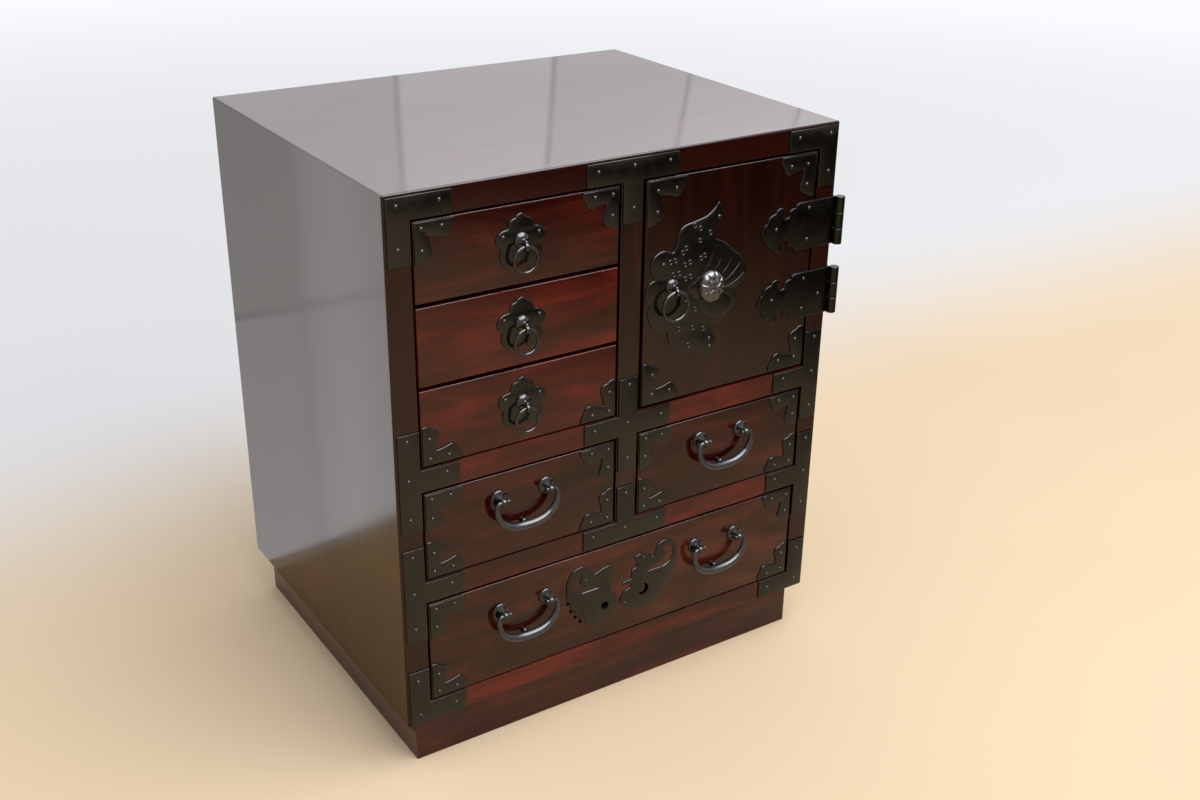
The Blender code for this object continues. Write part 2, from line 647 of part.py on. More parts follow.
def add_handle(name, drawer, x, z):
    """A bail and its two posts, about the middle between the posts."""
    for side, sign in (("left", -1), ("right", 1)):
        spot = (x + sign * HANDLE_HALF_PITCH, 0.0, z)
        add_piece(f"{name}_post_{side}", handle_post(), BRIGHT_IRON, drawer, spot, smooth=True)
    axis = (x, -JOIN_GAP - EYE_FORWARD, z)
    add_piece(f"{name}_bail", bail_shape(), BRIGHT_IRON, drawer, axis, smooth=True)


# Drawers

ALL_CORNERS = [(-1, 1), (1, 1), (-1, -1), (1, -1)]
UPPER_CORNERS = ALL_CORNERS[:2]
LOWER_CORNERS = ALL_CORNERS[2:]


class Drawer:
    """One drawer in its opening: its empty, its front's half sizes and its box."""

    def __init__(self, chest, name, left, right, floor, height, rest=0.0, head=0.0):
        self.name = name
        self.half_width = (right - left) / 2 - FRONT_GAP
        self.half_height = (height - JOIN_GAP - FRONT_GAP) / 2
        self.middle_x = (left + right) / 2
        self.middle_z = floor + JOIN_GAP + self.half_height
        self.empty = add_empty(name, chest, (self.middle_x, 0.0, self.middle_z))
        foot = floor + rest + JOIN_GAP - self.middle_z
        top = floor + height - head - BOX_HEADROOM - self.middle_z
        self.add_box(foot, top)

    def add_box(self, foot, top):
        """Two sides, a back and a floor, open to the front board."""
        x = self.half_width + FRONT_GAP - BOX_SIDE_GAP
        y0 = DRAWER_FRONT + JOIN_GAP
        y1 = BACK_Y - BOX_REAR_GAP
        outer = box(-x, x, y0, y1, foot, top)
        inner = box(
            -x + BOX_WALL, x - BOX_WALL, y0 - BOX_WALL, y1 - BOX_WALL, foot + BOX_FLOOR, top + BOX_WALL)
        add_piece(self.name + "_box", combine(outer, inner, "DIFFERENCE"), PALE_WOOD, self.empty)

    def plain_front(self, spots):
        """The front board with its corner irons."""
        return front_with_irons(self.half_width, self.half_height, DRAWER_FRONT, DRAWER_IRON_LEG, spots)

    def add_front(self, shape):
        """The finished front."""
        add_piece(self.name + "_front", shape, FRONT_LACQUER, self.empty)


def build_small_drawers(chest):
    """Three stacked drawers, numbered from the top, each with a flower plate and a ring."""
    corners = {1: UPPER_CORNERS, SMALL_DRAWERS: LOWER_CORNERS}
    for i in range(SMALL_DRAWERS):
        number = SMALL_DRAWERS - i
        rest = RUNNER_BOARD / 2 if i > 0 else 0.0
        head = RUNNER_BOARD / 2 if number > 1 else 0.0
        floor = MIDDLE_SHELF_TOP + i * SMALL_PITCH
        name = f"small_drawer_{number}"
        drawer = Drawer(chest, name, -INNER_X, DIVIDER_LEFT, floor, SMALL_PITCH, rest, head)
        drawer.add_front(drawer.plain_front(corners.get(number, [])))
        plate_front = -JOIN_GAP - IRON
        plate = prism(flower_outline(), plate_front, -JOIN_GAP)
        plate = combine(plate, ring_post(plate_front, RING_WIRE), "UNION")
        add_piece(name + "_flower_plate", plate, PLATE_IRON, drawer.empty, (0.0, 0.0, FLOWER_RISE))
        axis = (0.0, -RING_EYE_FORWARD, FLOWER_RISE - RING_EYE_DROP)
        ring = ring_shape(RING_RADIUS, RING_WIRE)
        add_piece(name + "_ring", ring, BRIGHT_IRON, drawer.empty, axis, smooth=True)


def build_middle_drawers(chest):
    """Two drawers side by side, each with one bail."""
    spans = {"left": (-INNER_X, DIVIDER_LEFT), "right": (DIVIDER_RIGHT, INNER_X)}
    for side, (left, right) in spans.items():
        name = f"middle_drawer_{side}"
        drawer = Drawer(chest, name, left, right, LOWER_SHELF_TOP, MIDDLE_OPENING)
        x = (-HANDLE_X if side == "left" else HANDLE_X) - drawer.middle_x
        stud = stop_stud(x, HANDLE_RISE_MIDDLE - BAIL_DROP)
        drawer.add_front(combine(drawer.plain_front(ALL_CORNERS), stud, "UNION"))
        add_handle(name, drawer.empty, x, HANDLE_RISE_MIDDLE)


def lock_plate(outline, window, keyhole, radius):
    """A lock plate with its window and keyhole, about the middle of the drawer's front."""
    front, back = -2 * IRON, 2 * IRON_SEAT
    plate = prism(arc_points(outline), -IRON, IRON_SEAT)
    plate = combine(plate, prism(arc_points(window), front, back), "DIFFERENCE")
    hole = turned([(0.0, back), (radius, back), (radius, front), (0.0, front)])
    x, z = keyhole
    bmesh.ops.translate(hole, vec=(x * PLATE_UNIT, 0.0, z * PLATE_UNIT), verts=hole.verts)
    return combine(plate, hole, "DIFFERENCE")


def build_bottom_drawer(chest):
    """The wide drawer with two bails and a pair of lock plates."""
    drawer = Drawer(chest, "bottom_drawer", -INNER_X, INNER_X, BOTTOM_BOARD, BOTTOM_OPENING)
    handles = {"left": -HANDLE_X, "right": HANDLE_X}
    mirror = 2 * LOCK_MIRROR_X / PLATE_UNIT
    right_window = run_back([(mirror - x, z, bulge) for x, z, bulge in LOCK_WINDOW])
    extras = [
        lock_plate(LEFT_LOCK, LOCK_WINDOW, LEFT_KEYHOLE, LEFT_KEYHOLE_RADIUS),
        lock_plate(RIGHT_LOCK, right_window, RIGHT_KEYHOLE, RIGHT_KEYHOLE_RADIUS),
    ]
    extras += [stop_stud(x, HANDLE_RISE_BOTTOM - BAIL_DROP) for x in handles.values()]
    drawer.add_front(join_all(drawer.plain_front(ALL_CORNERS), extras))
    for side, x in handles.items():
        add_handle(f"bottom_drawer_{side}", drawer.empty, x, HANDLE_RISE_BOTTOM)


# Door

def hinge_strap_outline(tip_x, neck_x, knuckle_half):
    """A strap with a cloud-shaped tip at its left and a neck to the middle knuckle at its right."""
    half = HINGE_HEIGHT / PLATE_UNIT / 2
    spread = half / HINGE_TIP[-1][1]
    tip, neck, end = tip_x / PLATE_UNIT, neck_x / PLATE_UNIT, KNUCKLE_X / PLATE_UNIT
    knuckle = knuckle_half / PLATE_UNIT
    upper = [(tip + x, z * spread, bulge) for x, z, bulge in HINGE_TIP]
    lower = run_back([(x, -z, bulge) for x, z, bulge in upper])
    right = [(neck, half, 0.0), (neck, knuckle, 0.0), (end, knuckle, 0.0)]
    return arc_points(upper + right + run_back([(x, -z, 0.0) for x, z, _ in right]) + lower[:-1])


def build_hinge(chest, door, name, z):
    """One hinge: the door's strap with the middle knuckle, the case's leaf with the others and the pin."""
    third = HINGE_HEIGHT / 3
    knuckle_half = (third - KNUCKLE_GAP) / 2
    neck_x = KNUCKLE_X - KNUCKLE_RADIUS - JOIN_GAP
    centre = Vector((KNUCKLE_X, -KNUCKLE_FORWARD, z))
    outline = hinge_strap_outline(KNUCKLE_X - HINGE_REACH, neck_x, knuckle_half)
    strap = prism(shifted(outline, 0.0, z), -JOIN_GAP - IRON, -JOIN_GAP)
    strap = combine(strap, rod(KNUCKLE_RADIUS, 2 * knuckle_half, centre, "Z"), "UNION")
    strap = combine(strap, rod(PIN_RADIUS + PIN_CLEARANCE, HINGE_HEIGHT, centre, "Z"), "DIFFERENCE")
    bmesh.ops.translate(strap, vec=(-KNUCKLE_X, KNUCKLE_FORWARD, 0.0), verts=strap.verts)
    add_piece(name + "_strap", strap, PLATE_IRON, door, smooth=True)

    half_height = HINGE_HEIGHT / 2
    slot = knuckle_half + KNUCKLE_GAP
    slot_y = KNUCKLE_RADIUS + JOIN_GAP - KNUCKLE_FORWARD
    far = HINGE_LEAF_DEPTH
    side_outline = [
        (-KNUCKLE_FORWARD, half_height), (far - HINGE_LEAF_CLIP, half_height),
        (far, half_height - HINGE_LEAF_CLIP), (far, HINGE_LEAF_CLIP - half_height),
        (far - HINGE_LEAF_CLIP, -half_height), (-KNUCKLE_FORWARD, -half_height),
        (-KNUCKLE_FORWARD, -slot), (slot_y, -slot), (slot_y, slot), (-KNUCKLE_FORWARD, slot),
    ]
    leaf = prism(side_outline, -IRON, 0.0)
    bmesh.ops.rotate(leaf, matrix=Matrix.Rotation(math.pi / 2, 3, "Z"), verts=leaf.verts)
    bmesh.ops.translate(leaf, vec=(HALF_WIDTH + JOIN_GAP, 0.0, z), verts=leaf.verts)
    for sign in (-1, 1):
        middle = centre + Vector((0.0, 0.0, sign * (slot + half_height) / 2))
        leaf = combine(leaf, rod(KNUCKLE_RADIUS, half_height - slot, middle, "Z"), "UNION")
    leaf = combine(leaf, rod(PIN_RADIUS, HINGE_HEIGHT - third, centre, "Z"), "UNION")
    add_piece(name + "_leaf", leaf, PLATE_IRON, chest, smooth=True)


def rib(root, rim, y0, y1):
    """One raised rib of the fan, narrower at its root."""
    start, end = Vector(root) * PLATE_UNIT, Vector(rim) * PLATE_UNIT
    across = (end - start).orthogonal().normalized() * RIB_WIDTH / 2
    corners = [start - across / 2, start + across / 2, end + across, end - across]
    return prism([tuple(corner) for corner in corners], y0, y1)


def build_butterfly(door):
    """The butterfly plate with its raised, ribbed wing and the door's ring post, which is its middle."""
    plate_front = -JOIN_GAP - IRON
    fan_front = plate_front - FAN_RISE
    plate = prism(arc_points(BUTTERFLY), plate_front, -JOIN_GAP)
    fan = prism(arc_points(FAN), fan_front, plate_front + IRON_SEAT)
    round_edges(fan, lambda p: p.y < fan_front + TINY, FAN_ROUND, segments=1)
    extras = [fan] + [rib(root, rim, fan_front - RIB_RISE, fan_front + IRON_SEAT) for root, rim in FAN_RIBS]
    plate = join_all(plate, extras)
    plate = combine(plate, ring_post(plate_front, DOOR_RING_WIRE), "UNION")
    spot = (DOOR_POST_X - KNUCKLE_X, KNUCKLE_FORWARD, DOOR_POST_Z)
    add_piece("butterfly_plate", plate, PLATE_IRON, door, spot)


def build_door(chest):
    """The door on its two hinges, with its empty on the hinge pins' axis."""
    door = add_empty("door", chest, (KNUCKLE_X, -KNUCKLE_FORWARD, 0.0))
    half_width, half_height = (DOOR_RIGHT - DOOR_LEFT) / 2, (DOOR_TOP - DOOR_FOOT) / 2
    panel = front_with_irons(half_width, half_height, DOOR_PANEL, DOOR_IRON_LEG, ALL_CORNERS)
    spot = (DOOR_MIDDLE_X - KNUCKLE_X, KNUCKLE_FORWARD, DOOR_MIDDLE_Z)
    add_piece("door_panel", panel, FRONT_LACQUER, door, spot)
    build_hinge(chest, door, "upper_hinge", HINGE_MIDDLE_Z + HINGE_SPACING / 2)
    build_hinge(chest, door, "lower_hinge", HINGE_MIDDLE_Z - HINGE_SPACING / 2)
    build_butterfly(door)
    axis = (DOOR_POST_X - KNUCKLE_X, KNUCKLE_FORWARD - RING_EYE_FORWARD, DOOR_POST_Z - RING_EYE_DROP)
    ring = ring_shape(DOOR_RING_RADIUS, DOOR_RING_WIRE)
    add_piece("door_ring", ring, BRIGHT_IRON, door, axis, smooth=True)


def main():
    """Clears the scene and builds the chest."""
    for old in list(bpy.data.objects):
        bpy.data.objects.remove(old)
    chest = add_empty("chest", None, (CHEST_X, CHEST_Y, PLINTH_HEIGHT))
    build_plinth(chest)
    build_top_board(chest)
    build_side(chest, "left_side", False)
    build_side(chest, "right_side", True)
    build_inner_boards(chest)
    build_case_irons(chest)
    build_small_drawers(chest)
    build_middle_drawers(chest)
    build_bottom_drawer(chest)
    build_door(chest)


main()
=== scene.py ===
"""Looks of the small ironbound tansu chest: lacquer, black irons, nails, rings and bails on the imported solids.

Shapes are drawn in millimetres in the chest's own axes: x across the front from the case's middle, y back from
the front face and z up from the case's underside. add_piece sets them in the frame.
"""
import math

import bmesh
import bpy
from mathutils import Matrix, Vector


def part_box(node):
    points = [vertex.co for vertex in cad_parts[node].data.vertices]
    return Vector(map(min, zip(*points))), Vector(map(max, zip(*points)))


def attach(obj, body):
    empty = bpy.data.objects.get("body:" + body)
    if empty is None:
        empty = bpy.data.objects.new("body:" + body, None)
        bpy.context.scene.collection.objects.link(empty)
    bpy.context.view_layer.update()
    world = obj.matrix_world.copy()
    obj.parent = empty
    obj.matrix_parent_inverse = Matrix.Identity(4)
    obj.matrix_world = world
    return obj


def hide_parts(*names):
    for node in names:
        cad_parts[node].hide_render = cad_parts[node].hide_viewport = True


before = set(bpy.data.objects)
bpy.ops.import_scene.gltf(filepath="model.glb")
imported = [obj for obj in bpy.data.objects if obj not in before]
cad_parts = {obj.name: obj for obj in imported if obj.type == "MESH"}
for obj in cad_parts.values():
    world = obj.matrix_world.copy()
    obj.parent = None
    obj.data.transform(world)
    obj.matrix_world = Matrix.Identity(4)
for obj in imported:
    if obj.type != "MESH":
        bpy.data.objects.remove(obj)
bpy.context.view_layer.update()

MM = 0.001
LEFT_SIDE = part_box("left_side")
RIGHT_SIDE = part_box("right_side")
ORIGIN = Vector((
    (LEFT_SIDE[0].x + RIGHT_SIDE[1].x) / 2, LEFT_SIDE[0].y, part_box("bottom_board")[0].z,
))

# Camera, fitted to the photograph: where it stands in the chest's axes, its turn, tilt, roll and lens
CAMERA_AT = (-652.46, -940.00, 797.94)
CAMERA_AZIMUTH = -33.58497
CAMERA_ELEVATION = 25.07177
CAMERA_ROLL = 0.89738
CAMERA_LENS = 43.022
CAMERA_SENSOR = 36.0

# Case
CASE_DEPTH = (LEFT_SIDE[1].y - LEFT_SIDE[0].y) / MM
HALF_WIDTH = (RIGHT_SIDE[1].x - LEFT_SIDE[0].x) / MM / 2
CASE_HEIGHT = (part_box("top_board")[1].z - ORIGIN.z) / MM
BOARD = 22.0
EDGE_ROUND = 1.6
EDGE_STEPS = 4
FRONT_ROUND = 0.9
FRONT_EASE = 0.8
DRAWER_FRONT = 18.0
DOOR_PANEL = 20.0
SOFTEN = 0.6

# Irons: the plates' back and front, the rounding of their edges, and the nail heads
IRON_BACK = -0.2
IRON_FRONT = -1.5
IRON_EDGE = 0.55
RELIEF_FRONT = -1.25
RELIEF_BACK = 0.3
RELIEF_EDGE = 0.8
ORNAMENT_EDGE = 1.0
DRAWER_IRON_LEG = 35.0
DOOR_IRON_LEG = 40.0
CORNER_INSET = 1.6
NAIL_RADIUS = 1.75
NAIL_HEIGHT = 1.15

# Ring pulls and bails
RING_RADIUS = 10.9
RING_WIRE = 1.5
DOOR_RING_RADIUS = 13.2
DOOR_RING_WIRE = 1.8
RING_CLEARANCE = 0.6
RING_BELL = 7.0
RING_BELL_RIM = 0.5
RING_BELL_HEIGHT = 4.6
RING_NECK = 1.7
RING_NECK_RISE = 0.2
RING_EYE_FORWARD = 9.0
RING_EYE_DROP = 3.5
RING_EAR = 3.8
RING_EAR_HALF = 1.7
FLOWER_RISE = 3.7
HANDLE_HALF_PITCH = 23.5
ROSETTE = 7.9
POST_STEM = 2.8
EYE_FORWARD = 9.3
EYE_BALL = 3.7
EYE_CLEARANCE = 0.3
BAIL_PIN = 1.9
BAIL_BEND = 4.0
BAIL_DROP = 28.2
BAIL_BAR = 4.0
BAIL_SHOULDER = 2.3
BAIL_END = 2.7
BAIL_END_HALF = 1.2
BOW_SQUARENESS = 2.4
STUD_RADIUS = 3.2
STUD_REACH = 4.9
STUD_HEAD = 1.6
POST_INSET = 28.9
POST_RISE = 6.0

# Outlines: x, z and how far the stretch to the next corner bulges outwards, clockwise from the front.
HINGE_TIP = [
    (0.0, 0.0, 0.15), (6.0, 9.0, 0.35), (15.0, 16.5, 0.45), (24.5, 20.5, -0.12), (23.5, 12.5, -0.50),
    (30.8, 11.5, -0.15), (31.3, 15.5, 0.30), (38.3, 18.5, 0.30), (43.0, 22.75, 0.0),
]
CORNER_LOBES = [(0.0, 0.0, 0.30), (8.7, 2.8, 0.42), (15.2, 9.6, -0.08)]
CORNER_CROTCH = 12.2
FLOWER_HALF = [
    (0.0, 22.6, 0.22), (5.2, 19.0, 0.42), (11.2, 12.2, -0.25), (13.0, 10.4, 0.30),
    (22.8, 4.0, 0.35), (19.4, -4.2, -0.25), (18.2, -6.4, 0.36), (15.6, -19.4, 0.34),
    (4.6, -20.6, 0.10), (0.0, -16.4, 0.0),
]
BUTTERFLY = [
    (2.5, 32.5, -0.10), (5.0, 44.0, 0.30), (15.5, 53.5, -0.02), (33.5, 56.8, -0.18),
    (48.0, 69.0, 0.30), (50.0, 49.0, -0.15), (46.5, 35.0, 0.12), (67.5, 20.5, 0.22),
    (83.0, -2.0, 0.20), (77.5, -12.5, -0.25), (69.5, -16.0, 0.45), (64.5, -37.0, 0.25),
    (46.5, -45.0, -0.25), (48.5, -56.0, 0.45), (47.5, -72.5, 0.45), (39.5, -73.5, -0.08),
    (18.5, -66.5, 0.12), (1.5, -58.0, 0.10), (-2.5, -43.0, -0.30), (-6.5, -41.5, 0.35),
    (-23.0, -27.0, 0.40), (-21.0, -15.0, 0.42), (-25.5, 2.0, 0.35), (-18.0, 8.0, -0.25),
    (-21.0, 14.0, 0.15), (-21.5, 26.0, 0.35), (-5.5, 32.8, 0.05), (-0.5, 30.0, -0.30),
]
LEFT_LOCK = [
    (-60.5, 1.0, 0.08), (-62.0, 18.0, 0.18), (-57.0, 32.0, 0.30), (-42.0, 36.0, 0.20),
    (-36.5, 27.0, -0.30), (-29.5, 25.0, 0.15), (-14.0, 28.5, 0.45), (-11.5, 18.0, 0.0),
    (-12.0, 4.0, -0.35), (-8.0, -5.0, 0.25), (-5.0, -18.0, 0.25), (-13.0, -27.0, 0.12),
    (-36.0, -30.5, -0.55), (-42.0, -26.0, -0.55), (-48.0, -19.0, -0.55), (-53.5, -11.5, -0.55),
    (-58.0, -4.5, -0.55),
]
RIGHT_LOCK = [
    (-1.0, -19.0, 0.30), (-2.0, -11.0, 0.25), (8.0, -3.5, -0.30), (10.0, 0.5, 0.0), (0.5, 1.5, 0.55),
    (0.5, 4.7, 0.0), (10.0, 6.0, 0.0), (10.0, 15.5, -0.25), (16.0, 18.0, -0.30), (12.5, 27.0, 0.40),
    (24.0, 28.5, 0.15), (33.0, 22.5, -0.25), (38.0, 32.0, 0.25), (47.0, 36.5, 0.25), (58.0, 31.0, 0.20),
    (62.5, 18.0, 0.12), (61.0, 4.0, 0.05), (56.0, -8.0, 0.06), (47.0, -20.0, 0.10), (34.0, -28.0, 0.12),
    (14.0, -29.0, 0.10),
]
LOCK_WINDOW = [
    (-28.0, 8.7, 0.0), (-45.0, 8.6, 0.20), (-56.5, 17.0, 0.15), (-55.0, 27.0, 0.25), (-47.5, 30.5, 0.30),
    (-45.5, 24.0, -0.20), (-46.5, 18.0, -0.20), (-39.0, 13.5, 0.0), (-28.0, 11.5, 0.0),
]
LOCK_MIRROR_X = 0.5
LOCK_NAILS = [(-41.7, 21.3), (33.0, 23.0), (22.9, 25.8), (2.5, -17.5)]
LOCK_PITS = [(-60.2, 1.2), (-56.7, -8.2), (-52.1, -15.6), (-46.4, -22.3)]
LOCK_PIT_RADIUS = 2.0
LEFT_KEYHOLE = (-20.0, -13.0)
LEFT_KEYHOLE_RADIUS = 4.0
RIGHT_KEYHOLE = (23.5, -9.5)
RIGHT_KEYHOLE_RADIUS = 6.0
WINDOW_EDGE = 0.6
WELL_DEPTH = 8.0
WELL_WALL = 0.4
CUT_OVERRUN = 3.0
TINY = 0.04
COVER_RADIUS = 5.0
COVER_SHIFT = (-2.8, 1.7)
COVER_RISE = 0.6
LOCK_NAIL_RADIUS = 1.3

ARC_STEPS = 7
ROUND_SIDES = 32
WIRE_SIDES = 14


# Scene: camera, floor and light

def node_box(name):
    """A node's lowest and highest corner in the chest's axes, in millimetres."""
    low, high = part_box(name)
    return (low - ORIGIN) / MM, (high - ORIGIN) / MM


def add_camera():
    """The camera where the photograph was taken."""
    turn, tilt, roll = (math.radians(a) for a in (CAMERA_AZIMUTH, CAMERA_ELEVATION, CAMERA_ROLL))
    back = Vector((math.sin(turn) * math.cos(tilt), -math.cos(turn) * math.cos(tilt), math.sin(tilt)))
    level = Vector((0.0, 0.0, 1.0)).cross(back).normalized()
    upright = back.cross(level)
    right = level * math.cos(roll) + upright * math.sin(roll)
    up = upright * math.cos(roll) - level * math.sin(roll)
    data = bpy.data.cameras.new("camera")
    data.sensor_width = CAMERA_SENSOR
    data.lens = CAMERA_LENS
    data.clip_start = 0.01
    data.clip_end = 100.0
    camera = bpy.data.objects.new("camera", data)
    place = ORIGIN + Vector(CAMERA_AT) * MM
    camera.matrix_world = Matrix.Translation(place) @ Matrix((right, up, back)).transposed().to_4x4()
    bpy.context.scene.collection.objects.link(camera)
    bpy.context.scene.camera = camera


def add_area_light(name, place, target, size, power, colour=(1.0, 1.0, 1.0), gloss_only=False):
    """A soft rectangular lamp that faces its target."""
    data = bpy.data.lights.new(name, "AREA")
    data.shape = "RECTANGLE"
    data.size, data.size_y = size
    data.energy = power
    data.color = colour
    lamp = bpy.data.objects.new(name, data)
    lamp.location = place
    lamp.rotation_mode = "QUATERNION"
    lamp.rotation_quaternion = (Vector(target) - Vector(place)).to_track_quat("-Z", "Y")
    lamp.visible_camera = False
    if gloss_only:
        lamp.visible_diffuse = False
    bpy.context.scene.collection.objects.link(lamp)
    return lamp


def add_world():
    """Soft light from all round, which camera, glossy and transmitted rays see as a pale backdrop."""
    world = bpy.data.worlds.new("studio")
    world.use_nodes = True
    bpy.context.scene.world = world
    tree = world.node_tree
    tree.nodes.clear()
    rays = tree.nodes.new("ShaderNodeLightPath")
    seen = tree.nodes.new("ShaderNodeMath")
    seen.operation = "MAXIMUM"
    either = tree.nodes.new("ShaderNodeMath")
    either.operation = "MAXIMUM"
    ambient = tree.nodes.new("ShaderNodeBackground")
    ambient.inputs["Color"].default_value = (0.95, 0.97, 1.0, 1.0)
    ambient.inputs["Strength"].default_value = 0.70
    backdrop = tree.nodes.new("ShaderNodeBackground")
    backdrop.inputs["Color"].default_value = (0.93, 0.93, 0.94, 1.0)
    backdrop.inputs["Strength"].default_value = 1.0
    mix = tree.nodes.new("ShaderNodeMixShader")
    out = tree.nodes.new("ShaderNodeOutputWorld")
    tree.links.new(rays.outputs["Is Camera Ray"], seen.inputs[0])
    tree.links.new(rays.outputs["Is Glossy Ray"], seen.inputs[1])
    tree.links.new(seen.outputs[0], either.inputs[0])
    tree.links.new(rays.outputs["Is Transmission Ray"], either.inputs[1])
    tree.links.new(either.outputs[0], mix.inputs["Fac"])
    tree.links.new(ambient.outputs[0], mix.inputs[1])
    tree.links.new(backdrop.outputs[0], mix.inputs[2])
    tree.links.new(mix.outputs[0], out.inputs["Surface"])


# Materials: the span that a noise fills, and the light that the far floor adds for the camera

NOISE_SPAN = (0.3, 0.7)
FLOOR_LIFT = 0.42
FLOOR_LIFT_REACH = (0.9, 4.0)
EDGE_REACH = (2.2, 1.2)
EDGE_SPECULAR = (0.5, 0.33)


def new_material(name):
    """An empty material, its node tree and its shader."""
    material = bpy.data.materials.new(name)
    material.use_nodes = True
    return material, material.node_tree, material.node_tree.nodes["Principled BSDF"]


def stretched_noise(tree, scale, detail=3.0, roughness=0.55, distortion=0.0):
    """Noise in the object's own axes, stretched by a scale for each axis and shifted from piece to piece."""
    place = tree.nodes.new("ShaderNodeTexCoord")
    piece = tree.nodes.new("ShaderNodeObjectInfo")
    shift = tree.nodes.new("ShaderNodeVectorMath")
    shift.operation = "MULTIPLY_ADD"
    shift.inputs[1].default_value = (7.3, 5.1, 3.7)
    tree.links.new(piece.outputs["Random"], shift.inputs[0])
    tree.links.new(place.outputs["Object"], shift.inputs[2])
    stretch = tree.nodes.new("ShaderNodeMapping")
    stretch.inputs["Scale"].default_value = scale
    tree.links.new(shift.outputs[0], stretch.inputs["Vector"])
    noise = tree.nodes.new("ShaderNodeTexNoise")
    noise.inputs["Scale"].default_value = 1.0
    noise.inputs["Detail"].default_value = detail
    noise.inputs["Roughness"].default_value = roughness
    noise.inputs["Distortion"].default_value = distortion
    tree.links.new(stretch.outputs["Vector"], noise.inputs["Vector"])
    return noise.outputs["Fac"]


def along(axes, long, short):
    """Noise scales for a grain along the named axes."""
    return tuple(long if name in axes else short for name in "xyz")


def mixed(tree, first, second, share):
    """A blend of two values."""
    mix = tree.nodes.new("ShaderNodeMix")
    mix.inputs["Factor"].default_value = share
    tree.links.new(first, mix.inputs["A"])
    tree.links.new(second, mix.inputs["B"])
    return mix.outputs["Result"]


def ramp(tree, value, stops):
    """Colours along a value."""
    made = tree.nodes.new("ShaderNodeValToRGB")
    band = made.color_ramp
    while len(band.elements) < len(stops):
        band.elements.new(0.5)
    for element, (place, colour) in zip(band.elements, stops):
        element.position = place
        element.color = (*colour, 1.0)
    tree.links.new(value, made.inputs["Fac"])
    return made.outputs["Color"]


def ranged(tree, value, low, high, span=NOISE_SPAN):
    """A value, a noise where no other span is given, spread over a range."""
    made = tree.nodes.new("ShaderNodeMapRange")
    made.inputs["From Min"].default_value, made.inputs["From Max"].default_value = span
    made.inputs["To Min"].default_value = low
    made.inputs["To Max"].default_value = high
    tree.links.new(value, made.inputs["Value"])
    return made.outputs["Result"]


def add_bump(tree, shader, value, strength, depth):
    """A fine relief."""
    bump = tree.nodes.new("ShaderNodeBump")
    bump.inputs["Strength"].default_value = strength
    bump.inputs["Distance"].default_value = depth
    tree.links.new(value, bump.inputs["Height"])
    tree.links.new(bump.outputs["Normal"], shader.inputs["Normal"])


def lacquer(name, axis, middle, gloss=(0.07, 0.12), ior=1.42, shades=(0.4, 2.3), edge=None):
    """Clear glossy lacquer over stained wood: red clouds, streaks along the grain, pores, a redder front edge."""
    material, tree, shader = new_material(name)
    clouds = stretched_noise(tree, along(axis, 9.0, 46.0), detail=2.0, distortion=0.5)
    streaks = stretched_noise(tree, along(axis, 22.0, 620.0), detail=3.0)
    tone = mixed(tree, clouds, streaks, 0.22)
    dark, bright = (tuple(share * c for c in middle) for share in shades)
    colour = ramp(tree, tone, [(0.36, dark), (0.52, middle), (0.68, bright)])
    if edge:
        place = tree.nodes.new("ShaderNodeTexCoord").outputs["Object"]
        reach = [-ORIGIN.y - depth * MM for depth in EDGE_REACH]
        front = spread_along(tree, place, (0.0, -1.0, 0.0), reach)
        colour = mixed_colour(tree, colour, (*edge, 1.0), front)
        dull = ranged(tree, front, *EDGE_SPECULAR, span=(0.0, 1.0))
        tree.links.new(dull, shader.inputs["Specular IOR Level"])
    tree.links.new(colour, shader.inputs["Base Color"])
    tree.links.new(ranged(tree, clouds, *gloss), shader.inputs["Roughness"])
    pores = stretched_noise(tree, along(axis, 40.0, 900.0), detail=2.0)
    add_bump(tree, shader, pores, 0.03, 0.0002)
    shader.inputs["IOR"].default_value = ior
    return material


def pale_wood(name, axis):
    """Planed, unfinished light wood with soft grain lines."""
    material, tree, shader = new_material(name)
    rings = stretched_noise(tree, along(axis, 2.5, 60.0), detail=3.0, distortion=1.2)
    fibres = stretched_noise(tree, along(axis, 25.0, 800.0), detail=3.0)
    tone = mixed(tree, rings, fibres, 0.35)
    colour = ramp(tree, tone, [
        (0.34, (0.30, 0.185, 0.10)), (0.50, (0.47, 0.32, 0.19)), (0.66, (0.58, 0.43, 0.28)),
    ])
    tree.links.new(colour, shader.inputs["Base Color"])
    tree.links.new(ranged(tree, fibres, 0.55, 0.75), shader.inputs["Roughness"])
    add_bump(tree, shader, fibres, 0.12, 0.0003)
    return material


def iron(name, colours, gloss, relief, ior):
    """Blackened wrought iron: a little mottled, with the shallow dents of the hammer."""
    material, tree, shader = new_material(name)
    mottle = stretched_noise(tree, (130.0, 130.0, 130.0), detail=4.0, roughness=0.6)
    dents = stretched_noise(tree, (260.0, 260.0, 260.0), detail=2.0)
    tree.links.new(ramp(tree, mottle, [(0.35, colours[0]), (0.65, colours[1])]), shader.inputs["Base Color"])
    tree.links.new(ranged(tree, mottle, *gloss), shader.inputs["Roughness"])
    add_bump(tree, shader, dents, relief, 0.0006)
    shader.inputs["IOR"].default_value = ior
    return material


def spread_along(tree, place, direction, reach, smooth=False):
    """A value that goes from 0 to 1 along a direction of an object."""
    across = tree.nodes.new("ShaderNodeVectorMath")
    across.operation = "DOT_PRODUCT"
    across.inputs[1].default_value = direction
    tree.links.new(place, across.inputs[0])
    spread = tree.nodes.new("ShaderNodeMapRange")
    spread.interpolation_type = "SMOOTHSTEP" if smooth else "LINEAR"
    spread.inputs["From Min"].default_value, spread.inputs["From Max"].default_value = reach
    tree.links.new(across.outputs["Value"], spread.inputs["Value"])
    return spread.outputs["Result"]


